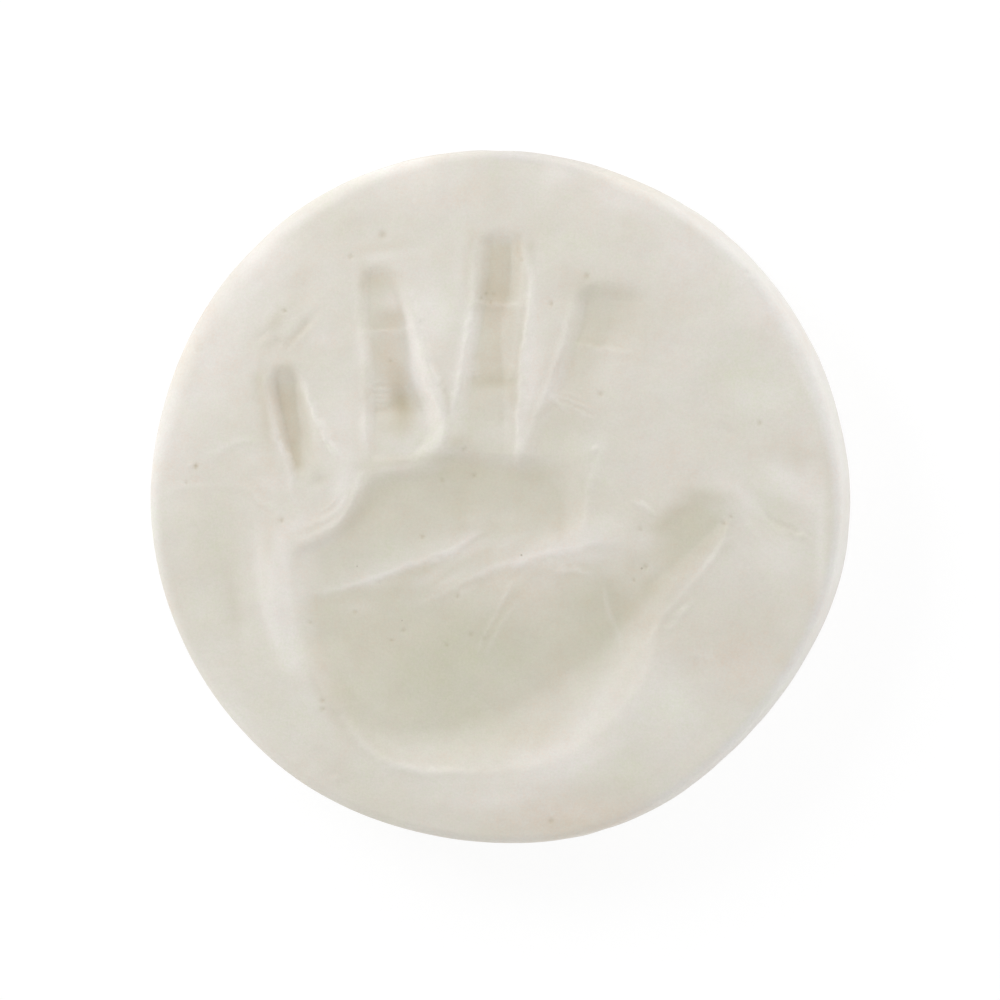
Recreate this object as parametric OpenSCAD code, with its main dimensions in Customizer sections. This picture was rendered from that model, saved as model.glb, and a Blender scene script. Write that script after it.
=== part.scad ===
// Round keepsake of pressed clay with the print of a small hand in its face.
// The disc lies on its back: +Z points out of the printed face and +Y towards the fingertips.
// The origin is the middle of the back.

/* [Disc] */
// Diameter of the disc
disc_d = 110; // [98:1:130]
// Thickness from the back to the level of the face
disc_t = 14; // [11:0.5:20]
// How far the hand-made edge wanders out and in
edge_wander = 0.4; // [0:0.05:0.9]
// Rounding of the face's edge where it is softest, at the upper left
soft_round = 4.4; // [2.6:0.1:6]
// Rounding of the face's edge where it is crispest, at the top and the bottom
crisp_round = 1.4; // [0.8:0.1:2.4]
// Rounding of the back's edge
back_round = 1.2; // [0.6:0.1:2.4]
// How far the side swells out between its two edges
side_swell = 0.5; // [0:0.1:1]
// Height of the slow waves in the face
face_wave = 0.25; // [0:0.05:0.6]

/* [Hand print] */
// Length of the hand from its heel to the tip of the middle finger
hand_l = 86; // [72:1:90]
// From the middle of the disc to the middle of the palm, to the right
hand_x = -5.6; // [-9:0.1:0]
// From the middle of the disc to the middle of the palm, upwards
hand_y = -19.9; // [-22:0.1:-14]
// Depth of the palm's print
palm_depth = 2.4; // [1.2:0.1:4]
// Depth of the thumb's print
thumb_depth = 1.2; // [0.6:0.1:3]
// Depth of the index finger's print
index_depth = 1; // [0.5:0.1:2.5]
// Depth of the middle finger's print
middle_depth = 1.2; // [0.6:0.1:3]
// Depth of the ring finger's print
ring_depth = 1.35; // [0.6:0.05:3]
// Depth of the little finger's print
little_depth = 1.5; // [0.7:0.1:3]
// Height of the clay pushed up in lips beside the prints
lip_h = 0.3; // [0.1:0.05:0.8]
// Height of the ridges beside the palm and under its creases
crease_h = 0.5; // [0.2:0.05:1]
// Size of the smaller dents and swellings
dent_h = 0.5; // [0:0.05:1]
// How softly one print runs into the next
melt = 0.3; // [0.1:0.05:0.8]

/* [Hidden] */
clay_colour = [0.85, 0.83, 0.78];

// Counts of the mesh: rings of the face, steps of the roundings and of the side
face_rings = 34;
round_steps = 4;
side_steps = 2;
back_steps = 2;
around = 6 * face_rings;

// Height of the rounding as a share of its width
round_drop_share = 0.8;

// Wander of the edge: rows of [lobes, cosine, sine] in shares of edge_wander
wander_shares = [
    [2, 1.0, -0.15],
    [3, 0.38, 0.22],
    [4, 0.09, 0.37],
    [5, 0.31, -0.08],
    [6, 0.20, -0.34],
    [7, -0.03, -0.16]
];

// How soft the edge's rounding is: rows of [degrees from +X, share of the softest]
soft_shares = [
    [0, 0.25],
    [25, 0.5],
    [60, 0.6],
    [75, 0.35],
    [92, 0.05],
    [108, 0.5],
    [125, 0.7],
    [145, 1],
    [165, 0.7],
    [180, 0.35],
    [200, 0.3],
    [225, 0.4],
    [240, 0.25],
    [265, 0.1],
    [290, 0.15],
    [320, 0.15],
    [340, 0.15],
    [360, 0.25]
];

// Slow waves of the face: rows of [turns along x, turns along y, start in degrees, height],
// with turns per hand length and heights in shares of face_wave
wave_shares = [
    [0.9, 0.5, 40, 0.5],
    [-0.6, 1.1, 200, 0.45],
    [1.7, -0.8, 95, 0.3],
    [1.3, 1.6, 310, 0.3]
];

// Every place of the hand's print is a share of hand_l, from the middle of the palm.

// Outline of the palm, anticlockwise from the right: rows of
// [x, y, width of the wall, depth, how softly the wall starts to fall].
// The depth is a share of palm_depth.
palm_shares = [
    [0.392, 0.010, 0.080, 0.85, 0.3],
    [0.400, 0.060, 0.080, 0.75, 0.4],
    [0.385, 0.105, 0.090, 0.62, 0.6],
    [0.350, 0.140, 0.100, 0.5, 0.6],
    [0.300, 0.164, 0.105, 0.44, 0.6],
    [0.270, 0.200, 0.100, 0.40, 0.6],
    [0.256, 0.250, 0.085, 0.40, 0.6],
    [0.240, 0.290, 0.075, 0.42, 0.6],
    [0.205, 0.318, 0.065, 0.42, 0.6],
    [0.160, 0.325, 0.050, 0.45, 0.4],
    [0.120, 0.318, 0.045, 0.46, 0.3],
    [0.070, 0.325, 0.045, 0.48, 0.3],
    [0.020, 0.335, 0.045, 0.48, 0.3],
    [-0.018, 0.331, 0.042, 0.46, 0.3],
    [-0.046, 0.305, 0.040, 0.42, 0.3],
    [-0.084, 0.290, 0.040, 0.38, 0.3],
    [-0.120, 0.286, 0.038, 0.36, 0.3],
    [-0.155, 0.280, 0.036, 0.35, 0.3],
    [-0.170, 0.260, 0.034, 0.35, 0.3],
    [-0.182, 0.231, 0.034, 0.35, 0.3],
    [-0.200, 0.201, 0.034, 0.35, 0.3],
    [-0.231, 0.172, 0.034, 0.36, 0.3],
    [-0.262, 0.154, 0.034, 0.38, 0.3],
    [-0.296, 0.144, 0.040, 0.40, 0.6],
    [-0.318, 0.134, 0.054, 0.42, 0.6],
    [-0.320, 0.080, 0.062, 0.46, 0.6],
    [-0.316, 0.020, 0.060, 0.48, 0.6],
    [-0.304, -0.043, 0.058, 0.46, 0.6],
    [-0.284, -0.105, 0.056, 0.34, 0.6],
    [-0.258, -0.158, 0.056, 0.28, 0.5],
    [-0.226, -0.207, 0.060, 0.28, 0.4],
    [-0.183, -0.243, 0.066, 0.36, 0.3],
    [-0.130, -0.268, 0.080, 0.52, 0.3],
    [-0.061, -0.283, 0.100, 0.72, 0.3],
    [0.020, -0.284, 0.125, 0.92, 0.3],
    [0.100, -0.282, 0.140, 1, 0.35],
    [0.203, -0.260, 0.160, 1.05, 0.4],
    [0.290, -0.205, 0.170, 1.05, 0.4],
    [0.360, -0.118, 0.150, 1, 0.4],
    [0.386, -0.050, 0.110, 0.92, 0.4]
];
// The point that the palm's outline goes round, and the depth there
palm_mid_shares = [0.03, 0.02];
palm_mid_depth_share = 0.85;
// Angle over which the outline is smoothed, in degrees
palm_ease = 4;

// Prints of the fingers: rows of [along, left edge, right edge, depth, left wall, right wall, lean],
// from the palm to the tip. The depth is a share of that finger's depth. A positive lean makes the
// floor deeper towards its right edge.
little_shares = [
    [0.24, -0.298, -0.225, 0.1, 0.014, 0.050, -0.1],
    [0.28, -0.304, -0.215, 0.4, 0.014, 0.070, -0.2],
    [0.32, -0.318, -0.225, 0.7, 0.014, 0.066, -0.2],
    [0.35, -0.328, -0.236, 0.9, 0.016, 0.062, -0.1],
    [0.388, -0.338, -0.250, 1, 0.018, 0.058, 0],
    [0.413, -0.342, -0.259, 1, 0.022, 0.054, 0],
    [0.439, -0.344, -0.266, 0.9, 0.024, 0.050, 0],
    [0.48, -0.344, -0.272, 0.7, 0.026, 0.044, 0]
];
ring_shares = [
    [0.29, -0.158, -0.060, 0.15, 0.014, 0.028, 0],
    [0.31, -0.160, -0.045, 0.3, 0.014, 0.030, 0.1],
    [0.34, -0.161, -0.018, 0.4, 0.014, 0.034, 0.2],
    [0.37, -0.161, -0.012, 0.6, 0.014, 0.038, 0.3],
    [0.395, -0.161, -0.018, 0.95, 0.016, 0.042, 0.4],
    [0.42, -0.162, -0.028, 0.95, 0.016, 0.042, 0.5],
    [0.45, -0.163, -0.040, 0.75, 0.016, 0.038, 0.5],
    [0.478, -0.164, -0.050, 0.62, 0.016, 0.034, 0.5],
    [0.53, -0.170, -0.066, 0.55, 0.016, 0.026, 0.4],
    [0.56, -0.173, -0.073, 0.52, 0.016, 0.028, 0.2],
    [0.60, -0.176, -0.080, 0.5, 0.018, 0.034, -0.2],
    [0.66, -0.177, -0.088, 0.45, 0.020, 0.040, -0.3]
];
middle_shares = [
    [0.30, 0.002, 0.122, 0.32, 0.034, 0.030, 0],
    [0.364, 0.001, 0.124, 0.36, 0.034, 0.030, 0],
    [0.40, 0.006, 0.124, 0.38, 0.034, 0.030, 0],
    [0.42, 0.010, 0.124, 0.45, 0.034, 0.030, 0],
    [0.445, 0.014, 0.124, 0.56, 0.034, 0.032, 0],
    [0.48, 0.018, 0.125, 0.54, 0.034, 0.034, 0],
    [0.52, 0.027, 0.129, 0.56, 0.034, 0.038, 0],
    [0.56, 0.036, 0.136, 0.62, 0.032, 0.042, 0],
    [0.585, 0.039, 0.139, 0.72, 0.032, 0.044, 0],
    [0.60, 0.039, 0.139, 0.8, 0.032, 0.044, 0],
    [0.64, 0.039, 0.138, 0.88, 0.032, 0.044, 0],
    [0.69, 0.038, 0.134, 0.85, 0.032, 0.040, 0],
    [0.73, 0.038, 0.130, 0.7, 0.032, 0.038, 0]
];
index_shares = [
    [0.27, 0.112, 0.240, 0.3, 0.024, 0.060, -0.1],
    [0.314, 0.129, 0.270, 0.4, 0.024, 0.080, -0.2],
    [0.359, 0.144, 0.295, 0.45, 0.024, 0.090, -0.2],
    [0.403, 0.164, 0.310, 0.5, 0.024, 0.090, -0.2],
    [0.453, 0.183, 0.330, 0.6, 0.024, 0.090, -0.2],
    [0.491, 0.195, 0.350, 0.7, 0.026, 0.090, -0.1],
    [0.515, 0.205, 0.365, 0.85, 0.028, 0.090, 0],
    [0.529, 0.211, 0.372, 0.95, 0.032, 0.090, 0],
    [0.56, 0.218, 0.380, 1, 0.036, 0.090, 0],
    [0.63, 0.224, 0.382, 1, 0.040, 0.085, 0]
];
thumb_shares = [
    [-0.06, -0.150, 0.105, 1.1, 0.090, 0.070, 0],
    [0.00, -0.145, 0.100, 1.1, 0.090, 0.068, 0],
    [0.06, -0.120, 0.096, 0.9, 0.085, 0.062, 0],
    [0.11, -0.088, 0.090, 0.72, 0.075, 0.056, 0],
    [0.16, -0.066, 0.086, 0.58, 0.066, 0.054, 0],
    [0.20, -0.055, 0.084, 0.5, 0.058, 0.052, 0],
    [0.24, -0.051, 0.082, 0.46, 0.050, 0.050, 0],
    [0.28, -0.047, 0.079, 0.44, 0.044, 0.046, 0],
    [0.31, -0.044, 0.075, 0.44, 0.040, 0.040, 0],
    [0.36, -0.040, 0.069, 0.44, 0.036, 0.034, 0]
];

// Where each finger's rows start and which way they run:
// [x, y, turn in degrees, tip along the rows, length of the round tip, length of the fade at the palm]
little_place_shares = [0, 0, 90, 0.480, 0.040, 0.05];
ring_place_shares = [0, 0, 90, 0.662, 0.030, 0.02];
middle_place_shares = [0, 0, 90, 0.728, 0.036, 0.02];
index_place_shares = [0, 0, 90, 0.635, 0.045, 0.03];
thumb_place_shares = [0.24, 0, 47, 0.354, 0.050, 0.08];
// How softly the walls of the fingers start to fall, and how much the walls bend towards their foot
finger_start_share = 0.15;
finger_bend = 1.3;
palm_bend = 1.9;

// Lips and ridges that stand out of the face. Each is [which way, width on its low side, width on
// its high side, kind, rows]. A way of 0 runs along y with rows of [y, x, height] and a way of 1
// along x with rows of [x, y, height]. The kind 0 is in shares of lip_h, and 1 of crease_h.
ridge_shares = [
    // lips at the little finger, left and right
    [0, 0.010, 0.004, 0, [
        [0.240, -0.297, 0], [0.250, -0.298, 0.1], [0.290, -0.302, 0.6], [0.325, -0.320, 0.8],
        [0.388, -0.340, 0.7], [0.433, -0.350, 0.5], [0.460, -0.350, 0]]],
    [0, 0.004, 0.009, 0, [
        [0.290, -0.214, 0], [0.316, -0.225, 1], [0.350, -0.241, 1], [0.388, -0.260, 0.8],
        [0.433, -0.280, 0.3], [0.455, -0.288, 0]]],
    // lips at the ring finger, left and right
    [0, 0.010, 0.004, 0, [
        [0.290, -0.160, 0], [0.350, -0.162, 0.3], [0.450, -0.164, 0.4], [0.522, -0.171, 0.4],
        [0.600, -0.176, 0.3], [0.650, -0.176, 0]]],
    [0, 0.020, 0.006, 0, [
        [0.306, -0.065, 0], [0.325, -0.033, 0.4], [0.352, -0.014, 0.6], [0.389, -0.014, 0.8],
        [0.440, -0.037, 0.9], [0.478, -0.053, 0.9], [0.541, -0.069, 0.7], [0.605, -0.085, 0.2],
        [0.615, -0.087, 0]]],
    // lips at the middle finger, left and right
    [0, 0.010, 0.004, 0, [
        [0.335, -0.008, 0], [0.364, -0.006, 0.5], [0.440, 0.007, 0.7], [0.509, 0.020, 0.7],
        [0.585, 0.034, 0.6], [0.660, 0.034, 0.4], [0.705, 0.036, 0]]],
    [0, 0.005, 0.010, 0, [
        [0.295, 0.121, 0], [0.330, 0.123, 0.8], [0.390, 0.126, 0.7], [0.466, 0.127, 0.7],
        [0.522, 0.131, 0.8], [0.585, 0.142, 0.9], [0.642, 0.141, 0.6], [0.705, 0.134, 0]]],
    // lip at the left of the index finger
    [0, 0.012, 0.004, 0, [
        [0.298, 0.119, 0], [0.314, 0.126, 0.5], [0.359, 0.141, 0.6], [0.403, 0.161, 0.7],
        [0.453, 0.180, 0.7], [0.491, 0.192, 0.7], [0.529, 0.208, 0.5], [0.580, 0.219, 0.2],
        [0.605, 0.222, 0]]],
    // lip at the right of the thumb
    [0, 0.006, 0.012, 0, [
        [-0.040, 0.335, 0], [-0.021, 0.346, 0.3], [0.010, 0.365, 0.5], [0.036, 0.384, 0.5],
        [0.061, 0.409, 0.6], [0.087, 0.434, 0.7], [0.106, 0.453, 0.7], [0.131, 0.472, 0.7],
        [0.155, 0.487, 0.6], [0.180, 0.500, 0.4], [0.205, 0.506, 0]]],
    // lip at the lower left of the palm
    [0, 0.012, 0.006, 0, [
        [-0.270, -0.090, 0], [-0.261, -0.107, 0.7], [-0.237, -0.153, 0.7], [-0.210, -0.181, 0.7],
        [-0.171, -0.204, 0.5], [-0.126, -0.222, 0]]],
    // swelling outside the palm's left wall
    [0, 0.034, 0.022, 1, [
        [-0.16, -0.275, 0], [-0.105, -0.290, 0.3], [-0.056, -0.302, 0.7], [-0.025, -0.310, 1.1],
        [0.048, -0.324, 1.5], [0.097, -0.330, 1.6], [0.146, -0.334, 1.3], [0.195, -0.340, 0.7],
        [0.25, -0.345, 0]]],
    // rim between the palm and the fingers
    [1, 0.004, 0.008, 0, [
        [-0.340, 0.148, 0], [-0.302, 0.149, 0.15], [-0.268, 0.156, 0.25], [-0.238, 0.170, 0.4],
        [-0.213, 0.186, 0.5], [-0.195, 0.210, 0.6], [-0.180, 0.240, 0.6], [-0.171, 0.270, 0.4],
        [-0.155, 0.286, 0.3], [-0.115, 0.293, 0.35], [-0.084, 0.297, 0.4], [-0.046, 0.312, 0.45],
        [-0.020, 0.336, 0.3], [0.000, 0.344, 0]]],
    // the palm's two long creases
    [1, 0.008, 0.035, 1, [
        [-0.29, 0.048, 0], [-0.262, 0.052, 0.12], [-0.216, 0.061, 0.25], [-0.154, 0.077, 0.35],
        [-0.123, 0.088, 0.4], [-0.077, 0.109, 0.45], [-0.038, 0.123, 0.45], [0, 0.135, 0.45],
        [0.023, 0.148, 0.4], [0.045, 0.168, 0.2], [0.065, 0.180, 0]]],
    [1, 0.009, 0.040, 1, [
        [-0.09, 0.028, 0], [-0.031, 0.062, 0.2], [0.015, 0.086, 0.35], [0.076, 0.104, 0.45],
        [0.122, 0.115, 0.5], [0.168, 0.129, 0.55], [0.214, 0.143, 0.55], [0.265, 0.160, 0.45],
        [0.30, 0.170, 0.25], [0.34, 0.180, 0]]],
    // joints of the ring, middle and index fingers
    [1, 0.009, 0.004, 0, [
        [-0.172, 0.531, 0], [-0.145, 0.533, 0.35], [-0.105, 0.537, 0.35], [-0.075, 0.541, 0]]],
    [1, 0.009, 0.004, 0, [
        [0.030, 0.586, 0], [0.060, 0.584, 0.35], [0.110, 0.583, 0.4], [0.142, 0.582, 0]]],
    [1, 0.010, 0.004, 0, [
        [0.195, 0.516, 0], [0.230, 0.512, 0.35], [0.278, 0.504, 0.3], [0.340, 0.497, 0]]]
];

// Dents and swellings: rows of [x, y, half length, half width, turn in degrees, height],
// with the height in shares of dent_h
dent_shares = [
    [-0.100, 0.412, 0.022, 0.018, 0, -0.6],
    [-0.123, 0.560, 0.022, 0.016, 10, -0.25],
    [0.070, 0.443, 0.035, 0.012, 0, -0.15],
    [-0.095, 0.345, 0.045, 0.030, 0, 0.3],
    [-0.200, 0.285, 0.020, 0.026, 0, 0.5],
    [-0.255, 0.280, 0.016, 0.012, 20, -0.6],
    [-0.365, 0.425, 0.040, 0.012, 98, -0.3],
    [-0.440, 0.090, 0.040, 0.110, 8, -0.9],
    [-0.405, 0.020, 0.022, 0.080, 8, -0.5],
    [0.010, -0.080, 0.160, 0.120, 0, -0.3],
    [0.100, 0.230, 0.120, 0.040, 0, -0.3],
    [-0.030, 0.500, 0.040, 0.100, 0, 0.2],
    [0.160, 0.460, 0.030, 0.100, -12, 0.2],
    [0.585, 0.200, 0.045, 0.030, -40, -0.5],
    [0.550, 0.500, 0.050, 0.050, 0, -0.3]
];
// Reach of the smoothing along the rows
row_ease_share = 0.015;
// Narrowest wall of a print and narrowest ridge that the mesh carries without steps
least_wall_share = 0.032;
least_ridge_share = 0.020;

// A smooth step from 0 to 1
function ease(t) = let (held = min(1, max(0, t))) held * held * (3 - 2 * held);

// The fall of a wall from 0 at its upper edge to 1 at its foot, quickly at first and then ever
// more slowly, rounded off at the upper edge
function wall_fall(share, start, bend) =
    let (
        held = min(1, max(0, share)),
        t = held * held * (1 + start) / (held + start)
    )
    1 - pow(1 - t, bend);

// One column of a table, as pairs that lookup() reads
function column(rows, i) = [for (row = rows) [row[0], row[i]]];

// A value read from pairs and smoothed over a reach to both sides
function read(at, pairs, reach) =
    (lookup(at - reach, pairs) + 2 * lookup(at, pairs) + lookup(at + reach, pairs)) / 4;

// The deeper of two depths, with a soft change over
function deeper(a, b) =
    let (t = min(1, max(0, (a - b) / melt / 2 + 1 / 2)))
    b + (a - b) * t + melt * t * (1 - t);

// The palm's outline as pairs of [angle, value] about the middle of the palm
function angle_of(row) =
    let (a = atan2(row[1] - palm_mid_shares[1], row[0] - palm_mid_shares[0]))
    a < angle_start ? a + 360 : a;
angle_start = atan2(palm_shares[0][1] - palm_mid_shares[1], palm_shares[0][0] - palm_mid_shares[0]);
palm_angles = [for (row = palm_shares) angle_of(row)];
palm_last = len(palm_shares) - 1;
function round_pairs(values) = concat(
    [[palm_angles[palm_last] - 360, values[palm_last]]],
    [for (i = [0:palm_last]) [palm_angles[i], values[i]]],
    [[palm_angles[0] + 360, values[0]], [palm_angles[1] + 360, values[1]]]
);
palm_radius = round_pairs([for (row = palm_shares) norm([row[0], row[1]] - palm_mid_shares)]);
palm_wall = round_pairs([for (row = palm_shares) row[2]]);
palm_floor = round_pairs([for (row = palm_shares) row[3]]);
palm_start = round_pairs([for (row = palm_shares) row[4]]);

// Depth of the palm's print at a place in shares
function palm_depth_at(u, v) =
    let (
        from_mid = [u, v] - palm_mid_shares,
        turn = atan2(from_mid[1], from_mid[0]),
        angle = turn < angle_start ? turn + 360 : turn,
        edge = read(angle, palm_radius, palm_ease),
        out = norm(from_mid),
        wall = max(least_wall_share, read(angle, palm_wall, palm_ease)),
        near_edge = ease(out / edge),
        floor_share = palm_mid_depth_share * (1 - near_edge)
            + read(angle, palm_floor, palm_ease) * near_edge
    )
    palm_depth * floor_share
        * wall_fall((edge - out) / wall, read(angle, palm_start, palm_ease), palm_bend);

// A finger as [columns, place, depth]
function finger(rows, place, depth) = [[for (i = [1:6]) column(rows, i)], place, depth];
fingers = [
    finger(thumb_shares, thumb_place_shares, thumb_depth),
    finger(index_shares, index_place_shares, index_depth),
    finger(middle_shares, middle_place_shares, middle_depth),
    finger(ring_shares, ring_place_shares, ring_depth),
    finger(little_shares, little_place_shares, little_depth)
];

// Depth of one finger's print at a place in shares
function finger_depth_at(u, v, one) =
    let (
        columns = one[0],
        place = one[1],
        x = u - place[0],
        y = v - place[1],
        along = x * cos(place[2]) + y * sin(place[2]),
        across = x * sin(place[2]) - y * cos(place[2]),
        tip = place[3],
        tip_l = place[4],
        start = columns[0][0][0]
    )
    along > tip || along < start ? 0 :
    let (
        left = read(along, columns[0], row_ease_share),
        right = read(along, columns[1], row_ease_share),
        in_tip = min(1, max(0, (along - tip + tip_l) / tip_l)),
        middle = (left + right) / 2,
        half = (right - left) / 2 * sqrt(1 - in_tip * in_tip)
    )
    abs(across - middle) > half ? 0 :
    let (
        left_wall = max(least_wall_share, read(along, columns[3], row_ease_share)),
        right_wall = max(least_wall_share, read(along, columns[4], row_ease_share)),
        left_fall = wall_fall((across - middle + half) / left_wall, finger_start_share, finger_bend),
        right_fall = wall_fall((middle + half - across) / right_wall, finger_start_share, finger_bend),
        tip_fall = wall_fall((tip - along) / tip_l, finger_start_share, finger_bend),
        leaning = 1 + read(along, columns[5], row_ease_share) * (across - middle) / (right - left) * 2,
        ends = tip_fall * ease((along - start) / place[5])
    )
    one[2] * read(along, columns[2], row_ease_share) * leaning * left_fall * right_fall * ends;

// The fingers' prints melted into the palm's one after the other
function print_depth_at(u, v, depth, i = 0) =
    i == len(fingers) ? depth :
    print_depth_at(u, v, deeper(depth, finger_depth_at(u, v, fingers[i])), i + 1);

// Ridges as [way, low width, high width, kind, pairs of places, pairs of heights]
ridges = [for (r = ridge_shares) [r[0], r[1], r[2], r[3], column(r[4], 1), column(r[4], 2)]];
function ridge_at(u, v, r) =
    let (
        along = r[0] == 0 ? v : u,
        across = r[0] == 0 ? u : v,
        height = read(along, r[5], row_ease_share)
    )
    height == 0 ? 0 :
    let (
        off = across - read(along, r[4], row_ease_share),
        far = off / max(least_ridge_share, off > 0 ? r[2] : r[1])
    )
    (r[3] == 0 ? lip_h : crease_h) * height * exp(-far * far);

function dent_at(u, v, d) =
    let (
        x = u - d[0],
        y = v - d[1],
        far = norm([(x * cos(d[4]) + y * sin(d[4])) / d[2], (y * cos(d[4]) - x * sin(d[4])) / d[3]])
    )
    far > 3 ? 0 : dent_h * d[5] * exp(-far * far);

function wave_at(u, v, w) = face_wave * w[3] * sin(360 * (u * w[0] + v * w[1]) + w[2]);

function total(values, i = 0, so_far = 0) =
    i == len(values) ? so_far : total(values, i + 1, so_far + values[i]);

// Height of the face above its level, at a place in the disc's own sizes
function face_h(x, y) =
    let (
        u = (x - hand_x) / hand_l,
        v = (y - hand_y) / hand_l
    )
    total([for (r = ridges) ridge_at(u, v, r)])
    + total([for (d = dent_shares) dent_at(u, v, d)])
    + total([for (w = wave_shares) wave_at(u, v, w)])
    - print_depth_at(u, v, palm_depth_at(u, v));

// Radius of the edge and width of the face's rounding, at an angle
function edge_r(a) = disc_d / 2
    + edge_wander * total([for (w = wander_shares) w[1] * cos(w[0] * a) + w[2] * sin(w[0] * a)]);
function round_w(a) = crisp_round + (soft_round - crisp_round) * ease(lookup(a, soft_shares));

function ring_angle(j, count) = 360 * j / count;

// The face: ring k has 6 * k points, each a share of the way out to the rounding
function face_ring(k) = [
    for (j = [0:6 * k - 1])
        let (
            a = ring_angle(j, 6 * k),
            out = (edge_r(a) - side_swell - round_w(a)) * k / face_rings,
            x = out * cos(a),
            y = out * sin(a)
        )
        [x, y, disc_t + face_h(x, y)]
];

// The rounding of the face's edge, from the face down to the side
function round_ring(i) = [
    for (j = [0:around - 1])
        let (
            a = ring_angle(j, around),
            turn = 90 * i / round_steps,
            out = edge_r(a) - side_swell - round_w(a) * (1 - sin(turn)),
            x = out * cos(a),
            y = out * sin(a)
        )
        [x, y, disc_t + face_h(x, y) - round_w(a) * round_drop_share * (1 - cos(turn))]
];

// The side between its two edges, swelling out at the middle
function side_ring(i) = [
    for (j = [0:around - 1])
        let (
            a = ring_angle(j, around),
            share = i / (side_steps + 1),
            out = edge_r(a) - side_swell * (1 - sin(180 * share)),
            top = disc_t - round_w(a) * round_drop_share
        )
        [out * cos(a), out * sin(a), top + (back_round - top) * share]
];

// The rounding of the back's edge, from the side to the back
function back_ring(i) = [
    for (j = [0:around - 1])
        let (
            a = ring_angle(j, around),
            turn = 90 * i / back_steps,
            out = edge_r(a) - side_swell - back_round * (1 - cos(turn))
        )
        [out * cos(a), out * sin(a), back_round * (1 - sin(turn))]
];

rim_rings = concat(
    [for (i = [1:round_steps]) round_ring(i)],
    [for (i = [1:side_steps]) side_ring(i)],
    [for (i = [0:back_steps]) back_ring(i)]
);
face_points = concat(
    [[0, 0, disc_t + face_h(0, 0)]],
    [for (k = [1:face_rings]) for (p = face_ring(k)) p]
);
rim_points = [for (ring = rim_rings) for (p = ring) p];
// The edge's wander is centred, so that the origin is the middle of the disc's box
rim_x = [for (p = rim_points) p[0]];
rim_y = [for (p = rim_points) p[1]];
middle_x = (max(rim_x) + min(rim_x)) / 2;
middle_y = (max(rim_y) + min(rim_y)) / 2;
back_point = len(face_points) + len(rim_points);

// Number of the first point of face ring k, and of rim ring i, where rim ring 0 is the face's last
function face_first(k) = k == 0 ? 0 : 1 + 3 * k * (k - 1);
function rim_first(i) = face_first(face_rings) + i * around;

face_triangles = [
    for (k = [1:face_rings])
        for (sector = [0:5])
            for (i = [0:k - 1])
                let (
                    outer = sector * k + i,
                    inner = sector * (k - 1) + i,
                    a = face_first(k) + outer,
                    b = face_first(k) + (outer + 1) % (6 * k),
                    c = face_first(k - 1) + (k == 1 ? 0 : inner % (6 * (k - 1))),
                    d = face_first(k - 1) + (k == 1 ? 0 : (inner + 1) % (6 * (k - 1)))
                )
                for (triangle = i < k - 1 ? [[b, a, c], [b, c, d]] : [[b, a, c]]) triangle
];
rim_triangles = [
    for (i = [0:len(rim_rings) - 1])
        for (j = [0:around - 1])
            let (
                next = (j + 1) % around,
                a = rim_first(i) + j,
                b = rim_first(i) + next,
                c = rim_first(i + 1) + next,
                d = rim_first(i + 1) + j
            )
            for (triangle = [[a, b, c], [a, c, d]]) triangle
];
back_triangles = [
    for (j = [0:around - 1])
        [rim_first(len(rim_rings)) + j, rim_first(len(rim_rings)) + (j + 1) % around, back_point]
];

// The disc of clay, one piece with the print pressed into it
module clay_disc() {
    color(clay_colour)
        translate([-middle_x, -middle_y, 0])
            polyhedron(
                points = concat(face_points, rim_points, [[0, 0, 0]]),
                faces = concat(face_triangles, rim_triangles, back_triangles),
                convexity = 10
            );
}

clay_disc();
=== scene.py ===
"""A round keepsake of pressed clay with the print of a small hand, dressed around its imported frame."""

import math

import bpy
import numpy as np
from bpy.props import FloatProperty, FloatVectorProperty, IntProperty, PointerProperty
from bpy.types import Operator, Panel, PropertyGroup
from mathutils import Matrix, Vector


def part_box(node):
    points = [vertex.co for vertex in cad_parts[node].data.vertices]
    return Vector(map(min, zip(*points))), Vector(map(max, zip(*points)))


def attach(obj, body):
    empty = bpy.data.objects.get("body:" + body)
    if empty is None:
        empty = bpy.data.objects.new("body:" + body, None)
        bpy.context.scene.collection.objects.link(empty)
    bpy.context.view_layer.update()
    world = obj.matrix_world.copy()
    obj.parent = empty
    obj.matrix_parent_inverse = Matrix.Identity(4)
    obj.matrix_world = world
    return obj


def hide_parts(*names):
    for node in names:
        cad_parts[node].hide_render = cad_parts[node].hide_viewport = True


bl_info = {
    "name": "Hand print keepsake",
    "version": (1, 0, 0),
    "blender": (4, 5, 0),
    "location": "3D View > Sidebar > Keepsake",
    "description": "Makes a disc of pressed clay with the print of a small hand, and a stage to show it",
    "category": "Add Mesh",
}

MM = 0.001

# The solid that the pressed clay stands for
NODE = "clay_disc"

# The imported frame, and what it says of the disc's size
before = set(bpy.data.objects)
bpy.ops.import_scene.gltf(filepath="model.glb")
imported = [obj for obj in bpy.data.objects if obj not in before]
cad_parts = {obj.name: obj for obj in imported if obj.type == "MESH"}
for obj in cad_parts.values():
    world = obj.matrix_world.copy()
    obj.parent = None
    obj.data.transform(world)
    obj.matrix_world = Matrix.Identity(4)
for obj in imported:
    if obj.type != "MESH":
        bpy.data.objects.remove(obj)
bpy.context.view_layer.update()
DISC_LOW, DISC_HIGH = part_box(NODE)
DISC_D = (DISC_HIGH[0] - DISC_LOW[0] + DISC_HIGH[1] - DISC_LOW[1]) / 2

# Wander of the hand-made edge: rows of [lobes, cosine, sine] in shares of the wander
WANDER_SHARES = np.array([
    [2, 1.0, -0.15],
    [3, 0.38, 0.22],
    [4, 0.09, 0.37],
    [5, 0.31, -0.08],
    [6, 0.20, -0.34],
    [7, -0.03, -0.16],
])

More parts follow.
